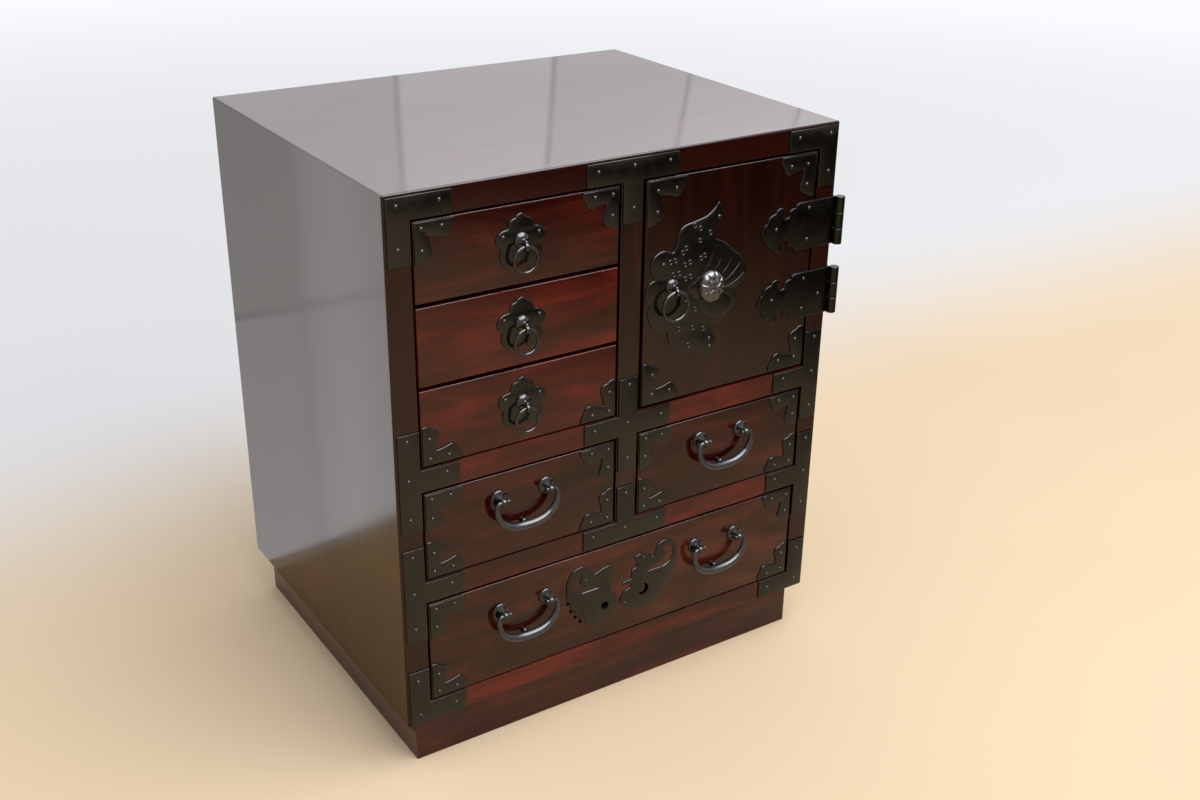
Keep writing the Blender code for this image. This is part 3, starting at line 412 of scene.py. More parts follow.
def mixed_colour(tree, first, second, share, blend="MIX"):
    """A blend of two colours, each an output or a plain colour."""
    mix = tree.nodes.new("ShaderNodeMix")
    mix.data_type = "RGBA"
    mix.blend_type = blend
    for socket, value in ((mix.inputs["Factor"], share), (mix.inputs["A"], first), (mix.inputs["B"], second)):
        if isinstance(value, bpy.types.NodeSocket):
            tree.links.new(value, socket)
        else:
            socket.default_value = value
    return mix.outputs["Result"]


def floor_material():
    """A plain pale floor: warm before the chest, white behind it."""
    material, tree, shader = new_material("pale_floor")
    place = tree.nodes.new("ShaderNodeTexCoord").outputs["Object"]
    clouds = stretched_noise(tree, (1.4, 1.4, 1.4), detail=2.0)
    warm = ramp(tree, clouds, [(0.3, (0.81, 0.635, 0.430)), (0.7, (0.85, 0.665, 0.455))])
    behind = spread_along(tree, place, (0.0, 1.0, 0.0), (0.15, 0.75), smooth=True)
    tree.links.new(mixed_colour(tree, warm, (0.80, 0.80, 0.81, 1.0), behind), shader.inputs["Base Color"])
    shader.inputs["Roughness"].default_value = 1.0
    shader.inputs["Specular IOR Level"].default_value = 0.0
    far = tree.nodes.new("ShaderNodeVectorMath")
    far.operation = "LENGTH"
    tree.links.new(place, far.inputs[0])
    lift = ranged(tree, far.outputs["Value"], 0.0, FLOOR_LIFT, span=FLOOR_LIFT_REACH)
    seen = tree.nodes.new("ShaderNodeMath")
    seen.operation = "MULTIPLY"
    tree.links.new(lift, seen.inputs[0])
    tree.links.new(tree.nodes.new("ShaderNodeLightPath").outputs["Is Camera Ray"], seen.inputs[1])
    shader.inputs["Emission Color"].default_value = (0.92, 0.93, 0.96, 1.0)
    tree.links.new(seen.outputs["Value"], shader.inputs["Emission Strength"])
    return material


def painted_reflection_card(name, direction, reach, stops, colour, glow):
    """A sheet seen only in gloss, a painted reflection that changes along a direction: painted, or a glowing wall
    of tiles where a glow is given.
    """
    material, tree, shader = new_material(name)
    place = tree.nodes.new("ShaderNodeTexCoord").outputs["Object"]
    colours = [(step, tuple(share * c for c in colour)) for step, share in stops]
    tint = ramp(tree, spread_along(tree, place, direction, reach), colours)
    shader.inputs["Roughness"].default_value = 1.0
    shader.inputs["Specular IOR Level"].default_value = 0.0
    # With a glow the sheet shines though it is no lamp: painted light, the reflected tiles of a wall.
    if glow:
        upright = tree.nodes.new("ShaderNodeMapping")
        upright.inputs["Rotation"].default_value = (math.pi / 2, 0.0, 0.0)
        tree.links.new(place, upright.inputs["Vector"])
        reflected_wall_tiles = tree.nodes.new("ShaderNodeTexBrick")
        reflected_wall_tiles.offset = 0.0
        for socket, value in (
            ("Color1", (1.0, 1.0, 1.0, 1.0)), ("Color2", (0.87, 0.86, 0.85, 1.0)),
            ("Mortar", (0.72, 0.72, 0.72, 1.0)), ("Mortar Size", 0.007), ("Mortar Smooth", 1.0),
            ("Scale", 1.0), ("Brick Width", 0.19), ("Row Height", 3.0),
        ):
            reflected_wall_tiles.inputs[socket].default_value = value
        tree.links.new(upright.outputs["Vector"], reflected_wall_tiles.inputs["Vector"])
        shader.inputs["Base Color"].default_value = (0.0, 0.0, 0.0, 1.0)
        shader.inputs["Emission Strength"].default_value = glow
        lit = mixed_colour(tree, tint, reflected_wall_tiles.outputs["Color"], 1.0, "MULTIPLY")
        tree.links.new(lit, shader.inputs["Emission Color"])
    else:
        tree.links.new(tint, shader.inputs["Base Color"])
    return material


# Shapes

def arc_points(corners, steps=ARC_STEPS):
    """Outline points from corners with bulges, each round stretch as an arc."""
    points = []
    for (x0, z0, bulge), (x1, z1, _) in zip(corners, corners[1:] + corners[:1]):
        start = Vector((x0, z0))
        chord = Vector((x1, z1)) - start
        points.append((x0, z0))
        if bulge == 0.0:
            continue
        sweep = 4.0 * math.atan(bulge)
        for k in range(1, steps):
            part = k / steps
            length = math.sin(sweep * part / 2) / math.sin(sweep / 2)
            turn = Matrix.Rotation(sweep * (1 - part) / 2, 2)
            points.append(tuple(start + turn @ chord * length))
    return points


def run_back(corners):
    """The corners from last to first, each with the bulge of the stretch that now leaves it."""
    bulges = [0.0] + [bulge for _, _, bulge in corners[:-1]]
    return [(x, z, bulge) for (x, z, _), bulge in zip(reversed(corners), reversed(bulges))]


def moved(outline, x, z):
    """An outline moved across the front."""
    return [(px + x, pz + z) for px, pz in outline]


def flipped(outline, x_sign, z_sign):
    """An outline mirrored about the origin's axes, still clockwise."""
    points = [(x_sign * x, z_sign * z) for x, z in outline]
    return points if x_sign * z_sign > 0 else points[::-1]


def drawn_in(outline, distance):
    """A clockwise outline moved inwards."""
    count = len(outline)
    points = []
    for i, (x, z) in enumerate(outline):
        before = (Vector((x, z)) - Vector(outline[i - 1])).normalized()
        after = (Vector(outline[(i + 1) % count]) - Vector((x, z))).normalized()
        inward = Vector((before.y + after.y, -before.x - after.x)).normalized()
        reach = distance / max(inward.dot(Vector((after.y, -after.x))), 0.5)
        points.append((x + inward.x * reach, z + inward.y * reach))
    return points


def loft(shape, rings, closed=False):
    """A skin over rings with equal numbers of points; an open run of rings gets a face at each end."""
    rows = [[shape.verts.new(point) for point in ring] for ring in rings]
    pairs = list(zip(rows, rows[1:]))
    if closed:
        pairs.append((rows[-1], rows[0]))
    for first, second in pairs:
        for i in range(len(first)):
            j = (i + 1) % len(first)
            shape.faces.new((first[i], first[j], second[j], second[i]))
    if not closed:
        shape.faces.new(rows[0])
        shape.faces.new(rows[-1])


def plate(shape, outline, back=IRON_BACK, front=IRON_FRONT, edge=IRON_EDGE):
    """A flat iron with rounded front edges."""
    rings = [[(x, back, z) for x, z in outline]]
    for step in range(EDGE_STEPS):
        angle = math.pi / 2 * step / (EDGE_STEPS - 1)
        y = front + edge * (1 - math.sin(angle))
        rings.append([(x, y, z) for x, z in drawn_in(outline, edge * (1 - math.cos(angle)))])
    loft(shape, rings)


def turned(shape, profile, at, sides=ROUND_SIDES, lobes=0, depth=0.0):
    """A shape turned about the y axis, from a radius and y at each step; lobes wave its radius."""
    rings = []
    for radius, y in profile:
        ring = []
        for i in range(sides):
            angle = math.tau * i / sides
            reach = max(radius, 0.01) * (1 + depth * math.cos(lobes * angle))
            ring.append((at[0] + reach * math.cos(angle), at[1] + y, at[2] + reach * math.sin(angle)))
        rings.append(ring)
    loft(shape, rings)


def dome(radius, back, height, steps=5):
    """The profile of a dome, from its rim to its top."""
    angles = [math.pi / 2 * step / steps for step in range(steps + 1)]
    return [(radius * math.cos(angle), back - height * math.sin(angle)) for angle in angles]


def nail(shape, x, z, y=IRON_FRONT, radius=NAIL_RADIUS):
    """A domed nail head on a plate."""
    profile = [(radius, 0.3)] + dome(radius, 0.0, NAIL_HEIGHT * radius / NAIL_RADIUS, steps=4)
    turned(shape, profile, (x, y, z), sides=14)


def tube(shape, path, radii, sides=WIRE_SIDES, closed=False):
    """A round bar along a path in the x-z plane."""
    across = Vector((0.0, 1.0, 0.0))
    count = len(path)
    rings = []
    for i, (point, radius) in enumerate(zip(path, radii)):
        before = path[(i - 1) % count] if closed else path[max(i - 1, 0)]
        after = path[(i + 1) % count] if closed else path[min(i + 1, count - 1)]
        outward = (after - before).normalized().cross(across)
        angles = [math.tau * k / sides for k in range(sides)]
        rings.append([point + radius * (across * math.cos(a) + outward * math.sin(a)) for a in angles])
    loft(shape, rings, closed)


def rod(shape, radius, centre, half, axis, sides=ROUND_SIDES, ease=0.35):
    """A bar along x or z with eased ends."""
    rings = []
    eased = radius - ease
    for place, reach in ((-half, eased), (ease - half, radius), (half - ease, radius), (half, eased)):
        ring = []
        for i in range(sides):
            angle = math.tau * i / sides
            a, b = reach * math.cos(angle), reach * math.sin(angle)
            offset = (place, a, b) if axis == "x" else (a, b, place)
            ring.append(tuple(c + o for c, o in zip(centre, offset)))
        rings.append(ring)
    loft(shape, rings)


def rounded_board(low, high, front_round, soften=0.4):
    """A board whose front edges are rounded and whose other edges are eased."""
    shape = bmesh.new()
    bmesh.ops.create_cube(shape, size=1.0)
    bmesh.ops.scale(shape, vec=high - low, verts=shape.verts)
    bmesh.ops.translate(shape, vec=(low + high) / 2, verts=shape.verts)
    front = [e for e in shape.edges if all(v.co.y < low.y + 0.01 for v in e.verts)]
    bmesh.ops.bevel(
        shape, geom=front, offset=front_round, offset_type="OFFSET", segments=4, profile=0.5, affect="EDGES")
    back = [e for e in shape.edges if all(v.co.y > high.y - 0.01 for v in e.verts)]
    bmesh.ops.bevel(
        shape, geom=back, offset=soften, offset_type="OFFSET", segments=2, profile=0.5, affect="EDGES",
    )
    return shape


def add_piece(name, shape, body, material, replaced=(), sharp=40.0):
    """One named piece in the frame, on its body, with its finish and the nodes that it stands for."""
    bmesh.ops.recalc_face_normals(shape, faces=shape.faces)
    shape.transform(Matrix.Translation(ORIGIN) @ Matrix.Scale(MM, 4))
    mesh = bpy.data.meshes.new(name)
    shape.to_mesh(mesh)
    shape.free()
    mesh.shade_smooth()
    mesh.set_sharp_from_angle(angle=math.radians(sharp))
    mesh.materials.append(material)
    piece = bpy.data.objects.new(name, mesh)
    bpy.context.scene.collection.objects.link(piece)
    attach(piece, body)
    if replaced:
        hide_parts(*replaced)
    return piece


def cut(piece, shape):
    """Takes a shape, drawn in the chest's axes, out of a piece."""
    bmesh.ops.recalc_face_normals(shape, faces=shape.faces)
    shape.transform(Matrix.Translation(ORIGIN) @ Matrix.Scale(MM, 4))
    mesh = bpy.data.meshes.new("cutter")
    shape.to_mesh(mesh)
    shape.free()
    cutter = bpy.data.objects.new("cutter", mesh)
    bpy.context.scene.collection.objects.link(cutter)
    modifier = piece.modifiers.new("cut", "BOOLEAN")
    modifier.operation = "DIFFERENCE"
    modifier.solver = "EXACT"
    modifier.object = cutter
    bpy.context.view_layer.update()
    result = bmesh.new()
    result.from_object(piece, bpy.context.evaluated_depsgraph_get())
    piece.modifiers.remove(modifier)
    result.to_mesh(piece.data)
    result.free()
    bpy.data.objects.remove(cutter)
    bpy.data.meshes.remove(mesh)


def dress_node(name, material, soften=SOFTEN):
    """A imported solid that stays: its edges are eased and it gets a finished material."""
    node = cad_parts[name]
    node.data.materials.clear()
    node.data.materials.append(material)
    weld = node.modifiers.new("weld", "WELD")
    weld.merge_threshold = 0.00001
    bevel = node.modifiers.new("soften", "BEVEL")
    bevel.width = soften * MM
    bevel.segments = 2
    bevel.limit_method = "ANGLE"
    bevel.angle_limit = math.radians(40.0)


# Finishes

CASE_IOR = 1.5
DOOR_SHADES = (0.65, 1.6)
CASE_RED = (0.0140, 0.0027, 0.0016)
TOP_RED = (0.0230, 0.0027, 0.0017)
RAIL_RED = (0.0520, 0.0038, 0.0020)
PLINTH_RED = (0.0380, 0.0050, 0.0026)
FRONT_REDS = {
    "small_drawer_1": (0.030, 0.0034, 0.0018), "small_drawer_2": (0.048, 0.0040, 0.0019),
    "small_drawer_3": (0.044, 0.0034, 0.0018), "middle_drawer_left": (0.025, 0.0028, 0.0016),
    "middle_drawer_right": (0.027, 0.0032, 0.0017), "bottom_drawer": (0.034, 0.0060, 0.0026),
}
DOOR_RED = (0.0120, 0.0020, 0.0012)
SIDE_EDGE_RED = (0.0150, 0.0019, 0.0011)
TOP_EDGE_RED = (0.0180, 0.0028, 0.0017)

SIDE_LACQUER = lacquer("side_lacquer", "z", CASE_RED, gloss=(0.12, 0.18), ior=CASE_IOR, edge=SIDE_EDGE_RED)
TOP_LACQUER = lacquer("top_lacquer", "x", TOP_RED, gloss=(0.06, 0.10), ior=CASE_IOR, edge=TOP_EDGE_RED)
RAIL_LACQUER = lacquer("rail_lacquer", "x", RAIL_RED)
PLINTH_LACQUER = lacquer("plinth_lacquer", "xy", PLINTH_RED)
STILE_LACQUER = lacquer("stile_lacquer", "z", CASE_RED)
FRONT_LACQUERS = {name: lacquer(name + "_lacquer", "x", red) for name, red in FRONT_REDS.items()}
FRONT_LACQUERS["door"] = lacquer("door_lacquer", "z", DOOR_RED, shades=DOOR_SHADES)
WOOD_ALONG_Y = pale_wood("pale_wood_deep", "y")
WOOD_ALONG_X = pale_wood("pale_wood_wide", "x")
WOOD_ALONG_Z = pale_wood("pale_wood_tall", "z")
BLACKS = ((0.0008, 0.0008, 0.0007), (0.0022, 0.0020, 0.0015))
BLUE_BLACKS = ((0.0016, 0.0018, 0.0022), (0.0042, 0.0045, 0.0053))
BOW_BLUES = ((0.0080, 0.0095, 0.0140), (0.0170, 0.0195, 0.0280))
BOSS_GREYS = ((0.0060, 0.0065, 0.0080), (0.0140, 0.0150, 0.0180))
PLATE_IRON = iron("plate_iron", BLACKS, (0.15, 0.22), 0.05, 1.45)
HINGE_IRON = iron("hinge_iron", BLACKS, (0.15, 0.22), 0.05, 1.33)
BOSS_IRON = iron("boss_iron", BOSS_GREYS, (0.14, 0.20), 0.03, 1.85)
BRIGHT_IRON = iron("bright_iron", BLUE_BLACKS, (0.09, 0.14), 0.03, 1.57)
BOW_IRON = iron("bow_iron", BOW_BLUES, (0.18, 0.24), 0.03, 1.6)


# Case

def mitred_outline(x_sign):
    """One side's section: square below, mitred to the top, with the rounded upper corner's lower half."""
    inner = HALF_WIDTH - BOARD
    points = [(-inner, CASE_HEIGHT - BOARD), (-inner, 0.0), (-HALF_WIDTH, 0.0)]
    for step in range(EDGE_STEPS + 1):
        angle = math.pi - math.pi / 4 * step / EDGE_STEPS
        x = EDGE_ROUND - HALF_WIDTH + EDGE_ROUND * math.cos(angle)
        points.append((x, CASE_HEIGHT - EDGE_ROUND + EDGE_ROUND * math.sin(angle)))
    return flipped(points, x_sign, 1)


def top_outline():
    """The top's section, between the two mitres."""
    half = []
    for step in range(EDGE_STEPS + 1):
        angle = math.pi / 2 + math.pi / 4 * step / EDGE_STEPS
        x = EDGE_ROUND - HALF_WIDTH + EDGE_ROUND * math.cos(angle)
        half.append((x, CASE_HEIGHT - EDGE_ROUND + EDGE_ROUND * math.sin(angle)))
    half.append((BOARD - HALF_WIDTH, CASE_HEIGHT - BOARD))
    return half + [(-x, z) for x, z in reversed(half)]


def board_along_depth(outline, chosen):
    """A board with the outline as its section, its chosen front edges rounded."""
    shape = bmesh.new()
    loft(shape, [[(x, y, z) for x, z in outline] for y in (0.0, CASE_DEPTH)])
    bmesh.ops.recalc_face_normals(shape, faces=shape.faces)
    edges = [e for e in shape.edges if all(v.co.y < 0.01 and chosen(v.co) for v in e.verts)]
    bmesh.ops.bevel(
        shape, geom=edges, offset=EDGE_ROUND, offset_type="OFFSET", segments=5, profile=0.5, affect="EDGES")
    return shape


def build_case():
    """Top, sides, inner boards, back and plinth."""
    top = board_along_depth(top_outline(), lambda p: p.z > CASE_HEIGHT - EDGE_ROUND)
    add_piece("top_board_lacquered", top, "case", TOP_LACQUER, ["top_board"])
    for name, sign in (("left_side", 1), ("right_side", -1)):
        side = board_along_depth(mitred_outline(sign), lambda p: abs(p.x) > HALF_WIDTH - EDGE_ROUND)
        add_piece(name + "_lacquered", side, "case", SIDE_LACQUER, [name])
    for name in ("bottom_board", "lower_shelf", "left_shelf", "right_shelf"):
        dress_node(name, RAIL_LACQUER)
    dress_node("plinth", PLINTH_LACQUER)
    dress_node("centre_divider", STILE_LACQUER)
    dress_node("back_panel", WOOD_ALONG_Z)
    for name in ("drawer_runner_1", "drawer_runner_2"):
        dress_node(name, WOOD_ALONG_Y)


CASE_IRON_NAMES = [
    "corner_iron_top_left", "corner_iron_top_right", "corner_iron_bottom_left", "corner_iron_bottom_right",
    "top_centre_iron", "centre_cross_iron", "lower_centre_iron", "side_iron_upper_left",
    "side_iron_upper_right", "side_iron_lower_left", "side_iron_lower_right",
]
CASE_IRON_WIDTH = 19.5


def case_iron_outline(name):
    """A node's angle, T or cross, from its box: an arm reaches wherever the box goes past the crossing."""
    low, high = node_box(name)
    half = CASE_IRON_WIDTH / 2
    wide, tall = high.x - low.x, high.z - low.z
    if wide > 4 * CASE_IRON_WIDTH:
        x = (low.x + high.x) / 2
    else:
        x = low.x + half if low.x < 0 else high.x - half
    if tall > 4 * CASE_IRON_WIDTH:
        z = (low.z + high.z) / 2
    else:
        z = low.z + half if "bottom" in name or "lower" in name else high.z - half
    corners = [
        (x - half, high.z), (x + half, high.z), (x + half, z + half), (high.x, z + half), (high.x, z - half),
        (x + half, z - half), (x + half, low.z), (x - half, low.z), (x - half, z - half), (low.x, z - half),
        (low.x, z + half), (x - half, z + half),
    ]
    rounded = [(round(px, 3), round(pz, 3)) for px, pz in corners]
    return list(dict.fromkeys(rounded))


CASE_NAILS_LEFT = [
    (-214.0, 474.5), (-178.0, 474.5), (-214.0, 440.0), (-214.0, 45.0), (-213.0, 9.5), (-178.0, 10.0),
    (-214.0, 278.0), (-214.0, 242.0), (-214.0, 206.0), (-179.0, 242.0),
    (-214.0, 170.0), (-214.0, 134.0), (-214.0, 99.0), (-178.0, 134.0),
]
CASE_NAILS_MIDDLE = [
    (-33.7, 474.3), (1.7, 475.2), (37.5, 474.6), (1.7, 439.0), (1.7, 278.0), (0.7, 241.0), (1.4, 206.0),
    (-34.0, 241.0), (37.0, 241.0), (1.0, 170.0), (0.7, 134.0), (-34.0, 134.0), (36.0, 134.0),
]


def build_case_irons():
    """The eleven flat irons on the front of the case, with their nails."""
    for name in CASE_IRON_NAMES:
        shape = bmesh.new()
        plate(shape, case_iron_outline(name))
        add_piece(name + "_plate", shape, "case", PLATE_IRON, [name])
    heads = bmesh.new()
    for x, z in CASE_NAILS_LEFT:
        nail(heads, x, z)
        nail(heads, -x, z)
    for x, z in CASE_NAILS_MIDDLE:
        nail(heads, x, z)
    add_piece("case_nails", heads, "case", BRIGHT_IRON)


# Fronts and their fittings

def corner_iron_outline(leg):
    """A lobed corner iron with its corner at the origin and its legs along +x and +z."""
    size = leg / DRAWER_IRON_LEG
    crotch = CORNER_CROTCH * size
    upright = [(x * size, leg - back * size, bulge) for x, back, bulge in CORNER_LOBES]
    level = run_back([(z, x, bulge) for x, z, bulge in upright])
    bend = (crotch, crotch, CORNER_LOBES[-1][2])
    return arc_points([(0.0, 0.0, 0.0)] + upright + [bend] + level)


ALL_CORNERS = [(-1, 1), (1, 1), (-1, -1), (1, -1)]
DRAWER_NAILS = [(6.2, 5.4), (23.7, 5.4), (6.2, 23.4)]
DOOR_NAILS = [(10.0, 9.5), (29.0, 9.5), (10.0, 28.0)]


def build_front(name, node, thickness, leg, corners, nails):
    """A front board with rounded edges, its corner irons and their nails."""
    low, high = node_box(node)
    low.y = high.y - thickness
    ease = Vector((FRONT_EASE, 0.0, FRONT_EASE))
    shape = rounded_board(low + ease, high - ease, FRONT_ROUND)
    board = add_piece(name + "_board", shape, name, FRONT_LACQUERS[name], [node])
    if not corners:
        return board
    irons = bmesh.new()
    heads = bmesh.new()
    outline = corner_iron_outline(leg)
    for x_sign, z_sign in corners:
        x = (high.x - CORNER_INSET) if x_sign > 0 else (low.x + CORNER_INSET)
        z = (high.z - CORNER_INSET) if z_sign > 0 else (low.z + CORNER_INSET)
        spot = moved(flipped(outline, -x_sign, -z_sign), x, z)
        plate(irons, spot, RELIEF_BACK, RELIEF_FRONT, RELIEF_EDGE)
        for along_x, along_z in nails:
            nail(heads, x - x_sign * along_x, z - z_sign * along_z, RELIEF_FRONT)
    add_piece(name + "_corner_irons", irons, name, PLATE_IRON)
    add_piece(name + "_corner_nails", heads, name, BRIGHT_IRON)
    return board


def ring_post(shape, x, z, wire):
    """A bell-shaped boss on a plate, its neck and the loop that the ring hangs in."""
    rim = IRON_FRONT - RING_BELL_RIM
    bell = [(RING_BELL, IRON_FRONT + RELIEF_BACK)]
    bell += dome(RING_BELL, rim, RING_BELL_HEIGHT - RING_BELL_RIM, steps=8)
    turned(shape, bell, (x, 0.0, z))
    crown = IRON_FRONT - RING_BELL_HEIGHT
    neck = [(RING_NECK + 1.2, crown + 1.0), (RING_NECK + 0.4, crown), (RING_NECK, crown - 0.8)]
    turned(shape, neck + dome(RING_NECK, -RING_EYE_FORWARD, RING_NECK), (x, 0.0, z + RING_NECK_RISE))
    eye = Vector((x, -RING_EYE_FORWARD, z - RING_EYE_DROP))
    hole = wire + RING_CLEARANCE
    middle = (RING_EAR + hole) / 2
    bar = (RING_EAR - hole) / 2
    angles = [math.tau * i / ROUND_SIDES for i in range(ROUND_SIDES)]
    rings = []
    for angle in angles:
        out = Vector((0.0, math.cos(angle), math.sin(angle)))
        ring = []
        for k in range(WIRE_SIDES):
            a = math.tau * k / WIRE_SIDES
            across = Vector((RING_EAR_HALF * math.cos(a), 0.0, 0.0))
            ring.append(eye + out * (middle + bar * math.sin(a)) + across)
        rings.append(ring)
    loft(shape, rings, closed=True)


def hanging_ring(shape, x, z, radius, wire):
    """A ring that hangs from its eye."""
    steps = 72
    angles = [math.tau * i / steps for i in range(steps)]
    path = [
        Vector((x + radius * math.sin(a), -RING_EYE_FORWARD, z - RING_EYE_DROP - radius + radius * math.cos(a)))
        for a in angles
    ]
    tube(shape, path, [wire] * steps, closed=True)


def build_small_drawers():
    """Three drawers, each with a flower plate, its nails and a ring."""
    corners = {1: ALL_CORNERS[:2], 2: [], 3: ALL_CORNERS[2:]}
    flower = arc_points(FLOWER_HALF[:-1] + run_back([(-x, z, b) for x, z, b in FLOWER_HALF])[:-1])
    for number in (1, 2, 3):
        name = f"small_drawer_{number}"
        node = name + "_front"
        build_front(name, node, DRAWER_FRONT, DRAWER_IRON_LEG, corners[number], DRAWER_NAILS)
        dress_node(name + "_box", WOOD_ALONG_Y, soften=0.8)
        low, high = node_box(node)
        x, z = (low.x + high.x) / 2, (low.z + high.z) / 2 + FLOWER_RISE
        shape = bmesh.new()
        plate(shape, moved(flower, x, z), edge=ORNAMENT_EDGE)
        add_piece(name + "_flower", shape, name, PLATE_IRON, [name + "_flower_plate"])
        post = bmesh.new()
        ring_post(post, x, z, RING_WIRE)
        add_piece(name + "_ring_post", post, name, BRIGHT_IRON)
        heads = bmesh.new()
        for side in (-1, 1):
            nail(heads, x + side * 16.5, z + 4.8)
        add_piece(name + "_flower_nails", heads, name, BRIGHT_IRON)
        ring = bmesh.new()
        hanging_ring(ring, x, z, RING_RADIUS, RING_WIRE)
        add_piece(name + "_round_ring", ring, name + "_ring", BRIGHT_IRON, [name + "_ring"])


def bail_points():
    """Half of a bail's line with its radius: the end's head, the pin, the bend, the bow down to its middle."""
    eye_half = math.sqrt(EYE_BALL ** 2 - (BAIL_PIN + EYE_CLEARANCE) ** 2)
    bend_x = HANDLE_HALF_PITCH + eye_half - EYE_CLEARANCE
    head_x = HANDLE_HALF_PITCH - eye_half - 2 * EYE_CLEARANCE - BAIL_END_HALF
    half_width = bend_x + BAIL_BEND
    points = []
    head_steps, bend_steps, bow_steps = 8, 6, 22
    for step in range(head_steps + 1):
        angle = (math.pi - math.asin(BAIL_PIN / BAIL_END)) * step / head_steps
        radius = max(BAIL_END * math.sin(angle), 0.05)
        points.append((head_x - BAIL_END_HALF * math.cos(angle), 0.0, radius))
    for step in range(bend_steps):
        angle = math.pi / 2 * step / bend_steps
        points.append((bend_x + BAIL_BEND * math.sin(angle), -BAIL_BEND * (1 - math.cos(angle)), BAIL_PIN))
    for step in range(bow_steps):
        angle = math.pi / 2 * step / bow_steps
        x = half_width * math.cos(angle) ** (2 / BOW_SQUARENESS)
        z = -BAIL_BEND - (BAIL_DROP - BAIL_BEND) * math.sin(angle) ** (2 / BOW_SQUARENESS)
        points.append((x, z, BAIL_SHOULDER + (BAIL_BAR - BAIL_SHOULDER) * math.sin(angle)))
    return points


def post_profile():
    """A domed rosette with a turned step, the stem and the eye's ball."""
    profile = [(ROSETTE, -0.1), (ROSETTE, -0.7)] + dome(ROSETTE, -0.7, 2.3, steps=7)[1:5]
    profile += [(POST_STEM + 0.9, -3.1), (POST_STEM + 0.7, -3.7), (POST_STEM, -4.1)]
    start = math.asin(POST_STEM / EYE_BALL)
    steps = 10
    for step in range(1, steps + 1):
        angle = start + (math.pi - start) * step / steps
        profile.append((EYE_BALL * math.sin(angle), -EYE_FORWARD + EYE_BALL * math.cos(angle)))
    return profile


def build_handle(name, body, x, z):
    """A bail, its two posts with domed rosettes, and the stud behind its bow."""
    half = bail_points()
    points = half + [(0.0, -BAIL_DROP, BAIL_BAR)] + [(-px, pz, r) for px, pz, r in reversed(half)]
    shape = bmesh.new()
    path = [Vector((x + px, -EYE_FORWARD, z + pz)) for px, pz, _ in points]
    tube(shape, path, [r for _, _, r in points], sides=20)
    add_piece(name + "_bow", shape, name + "_bail", BOW_IRON, [name + "_bail"])
    for side, sign in (("left", -1), ("right", 1)):
        place = (x + sign * HANDLE_HALF_PITCH, 0.0, z)
        post = bmesh.new()
        turned(post, post_profile(), place, sides=48)
        replaced = [f"{name}_post_{side}"]
        piece = add_piece(f"{name}_turned_post_{side}", post, body, BRIGHT_IRON, replaced)
        hole = bmesh.new()
        rod(hole, BAIL_PIN + EYE_CLEARANCE, (place[0], -EYE_FORWARD, z), 2 * EYE_BALL, "x", ease=0.0)
        cut(piece, hole)
    stud = bmesh.new()
    head = dome(STUD_RADIUS, STUD_HEAD - STUD_REACH, STUD_HEAD)
    turned(stud, [(STUD_RADIUS, RELIEF_BACK)] + head, (x, 0.0, z - BAIL_DROP), sides=20)
    add_piece(name + "_stud", stud, body, BRIGHT_IRON)


def build_middle_drawers():
    """Two drawers with a bail each."""
    for side, x in (("left", -107.0), ("right", 107.0)):
        name = f"middle_drawer_{side}"
        build_front(name, name + "_front", DRAWER_FRONT, DRAWER_IRON_LEG, ALL_CORNERS, DRAWER_NAILS)
        dress_node(name + "_box", WOOD_ALONG_Y, soften=0.8)
        build_handle(name, name, x, 202.45)


def shade_well(name, pieces, x, z, radius):
    """A hole through the given pieces of the bottom drawer's front, lined with a dark cup: painted shade inside
    the hole.
    """
    for piece in pieces:
        bore = bmesh.new()
        turned(bore, [(radius, -CUT_OVERRUN), (radius, WELL_DEPTH + WELL_WALL)], (x, 0.0, z))
        cut(piece, bore)
    painted_shade_lining = bmesh.new()
    inner, floor = radius - WELL_WALL, WELL_DEPTH - WELL_WALL
    cup = [(TINY, WELL_DEPTH), (radius - TINY, WELL_DEPTH), (radius - TINY, WELL_WALL)]
    cup += [(inner, WELL_WALL), (inner, floor), (TINY, floor)]
    turned(painted_shade_lining, cup, (x, 0.0, z))
    add_piece(name, painted_shade_lining, "bottom_drawer", PLATE_IRON)


def build_lock(name, outline, window, middle):
    """A lock plate with its window, on the middle of the bottom drawer's front."""
    shape = bmesh.new()
    plate(shape, moved(arc_points(outline), 0.0, middle), RELIEF_BACK, RELIEF_FRONT, RELIEF_EDGE)
    lock = add_piece(name, shape, "bottom_drawer", PLATE_IRON)
    opening = bmesh.new()
    hole = moved(arc_points(window), 0.0, middle)
    flare = [(RELIEF_FRONT - CUT_OVERRUN, WINDOW_EDGE), (RELIEF_FRONT, WINDOW_EDGE)]
    flare += [(RELIEF_FRONT + WINDOW_EDGE, 0.0), (CUT_OVERRUN, 0.0)]
    loft(opening, [[(px, y, pz) for px, pz in drawn_in(hole, -out)] for y, out in flare])
    cut(lock, opening)
    return lock


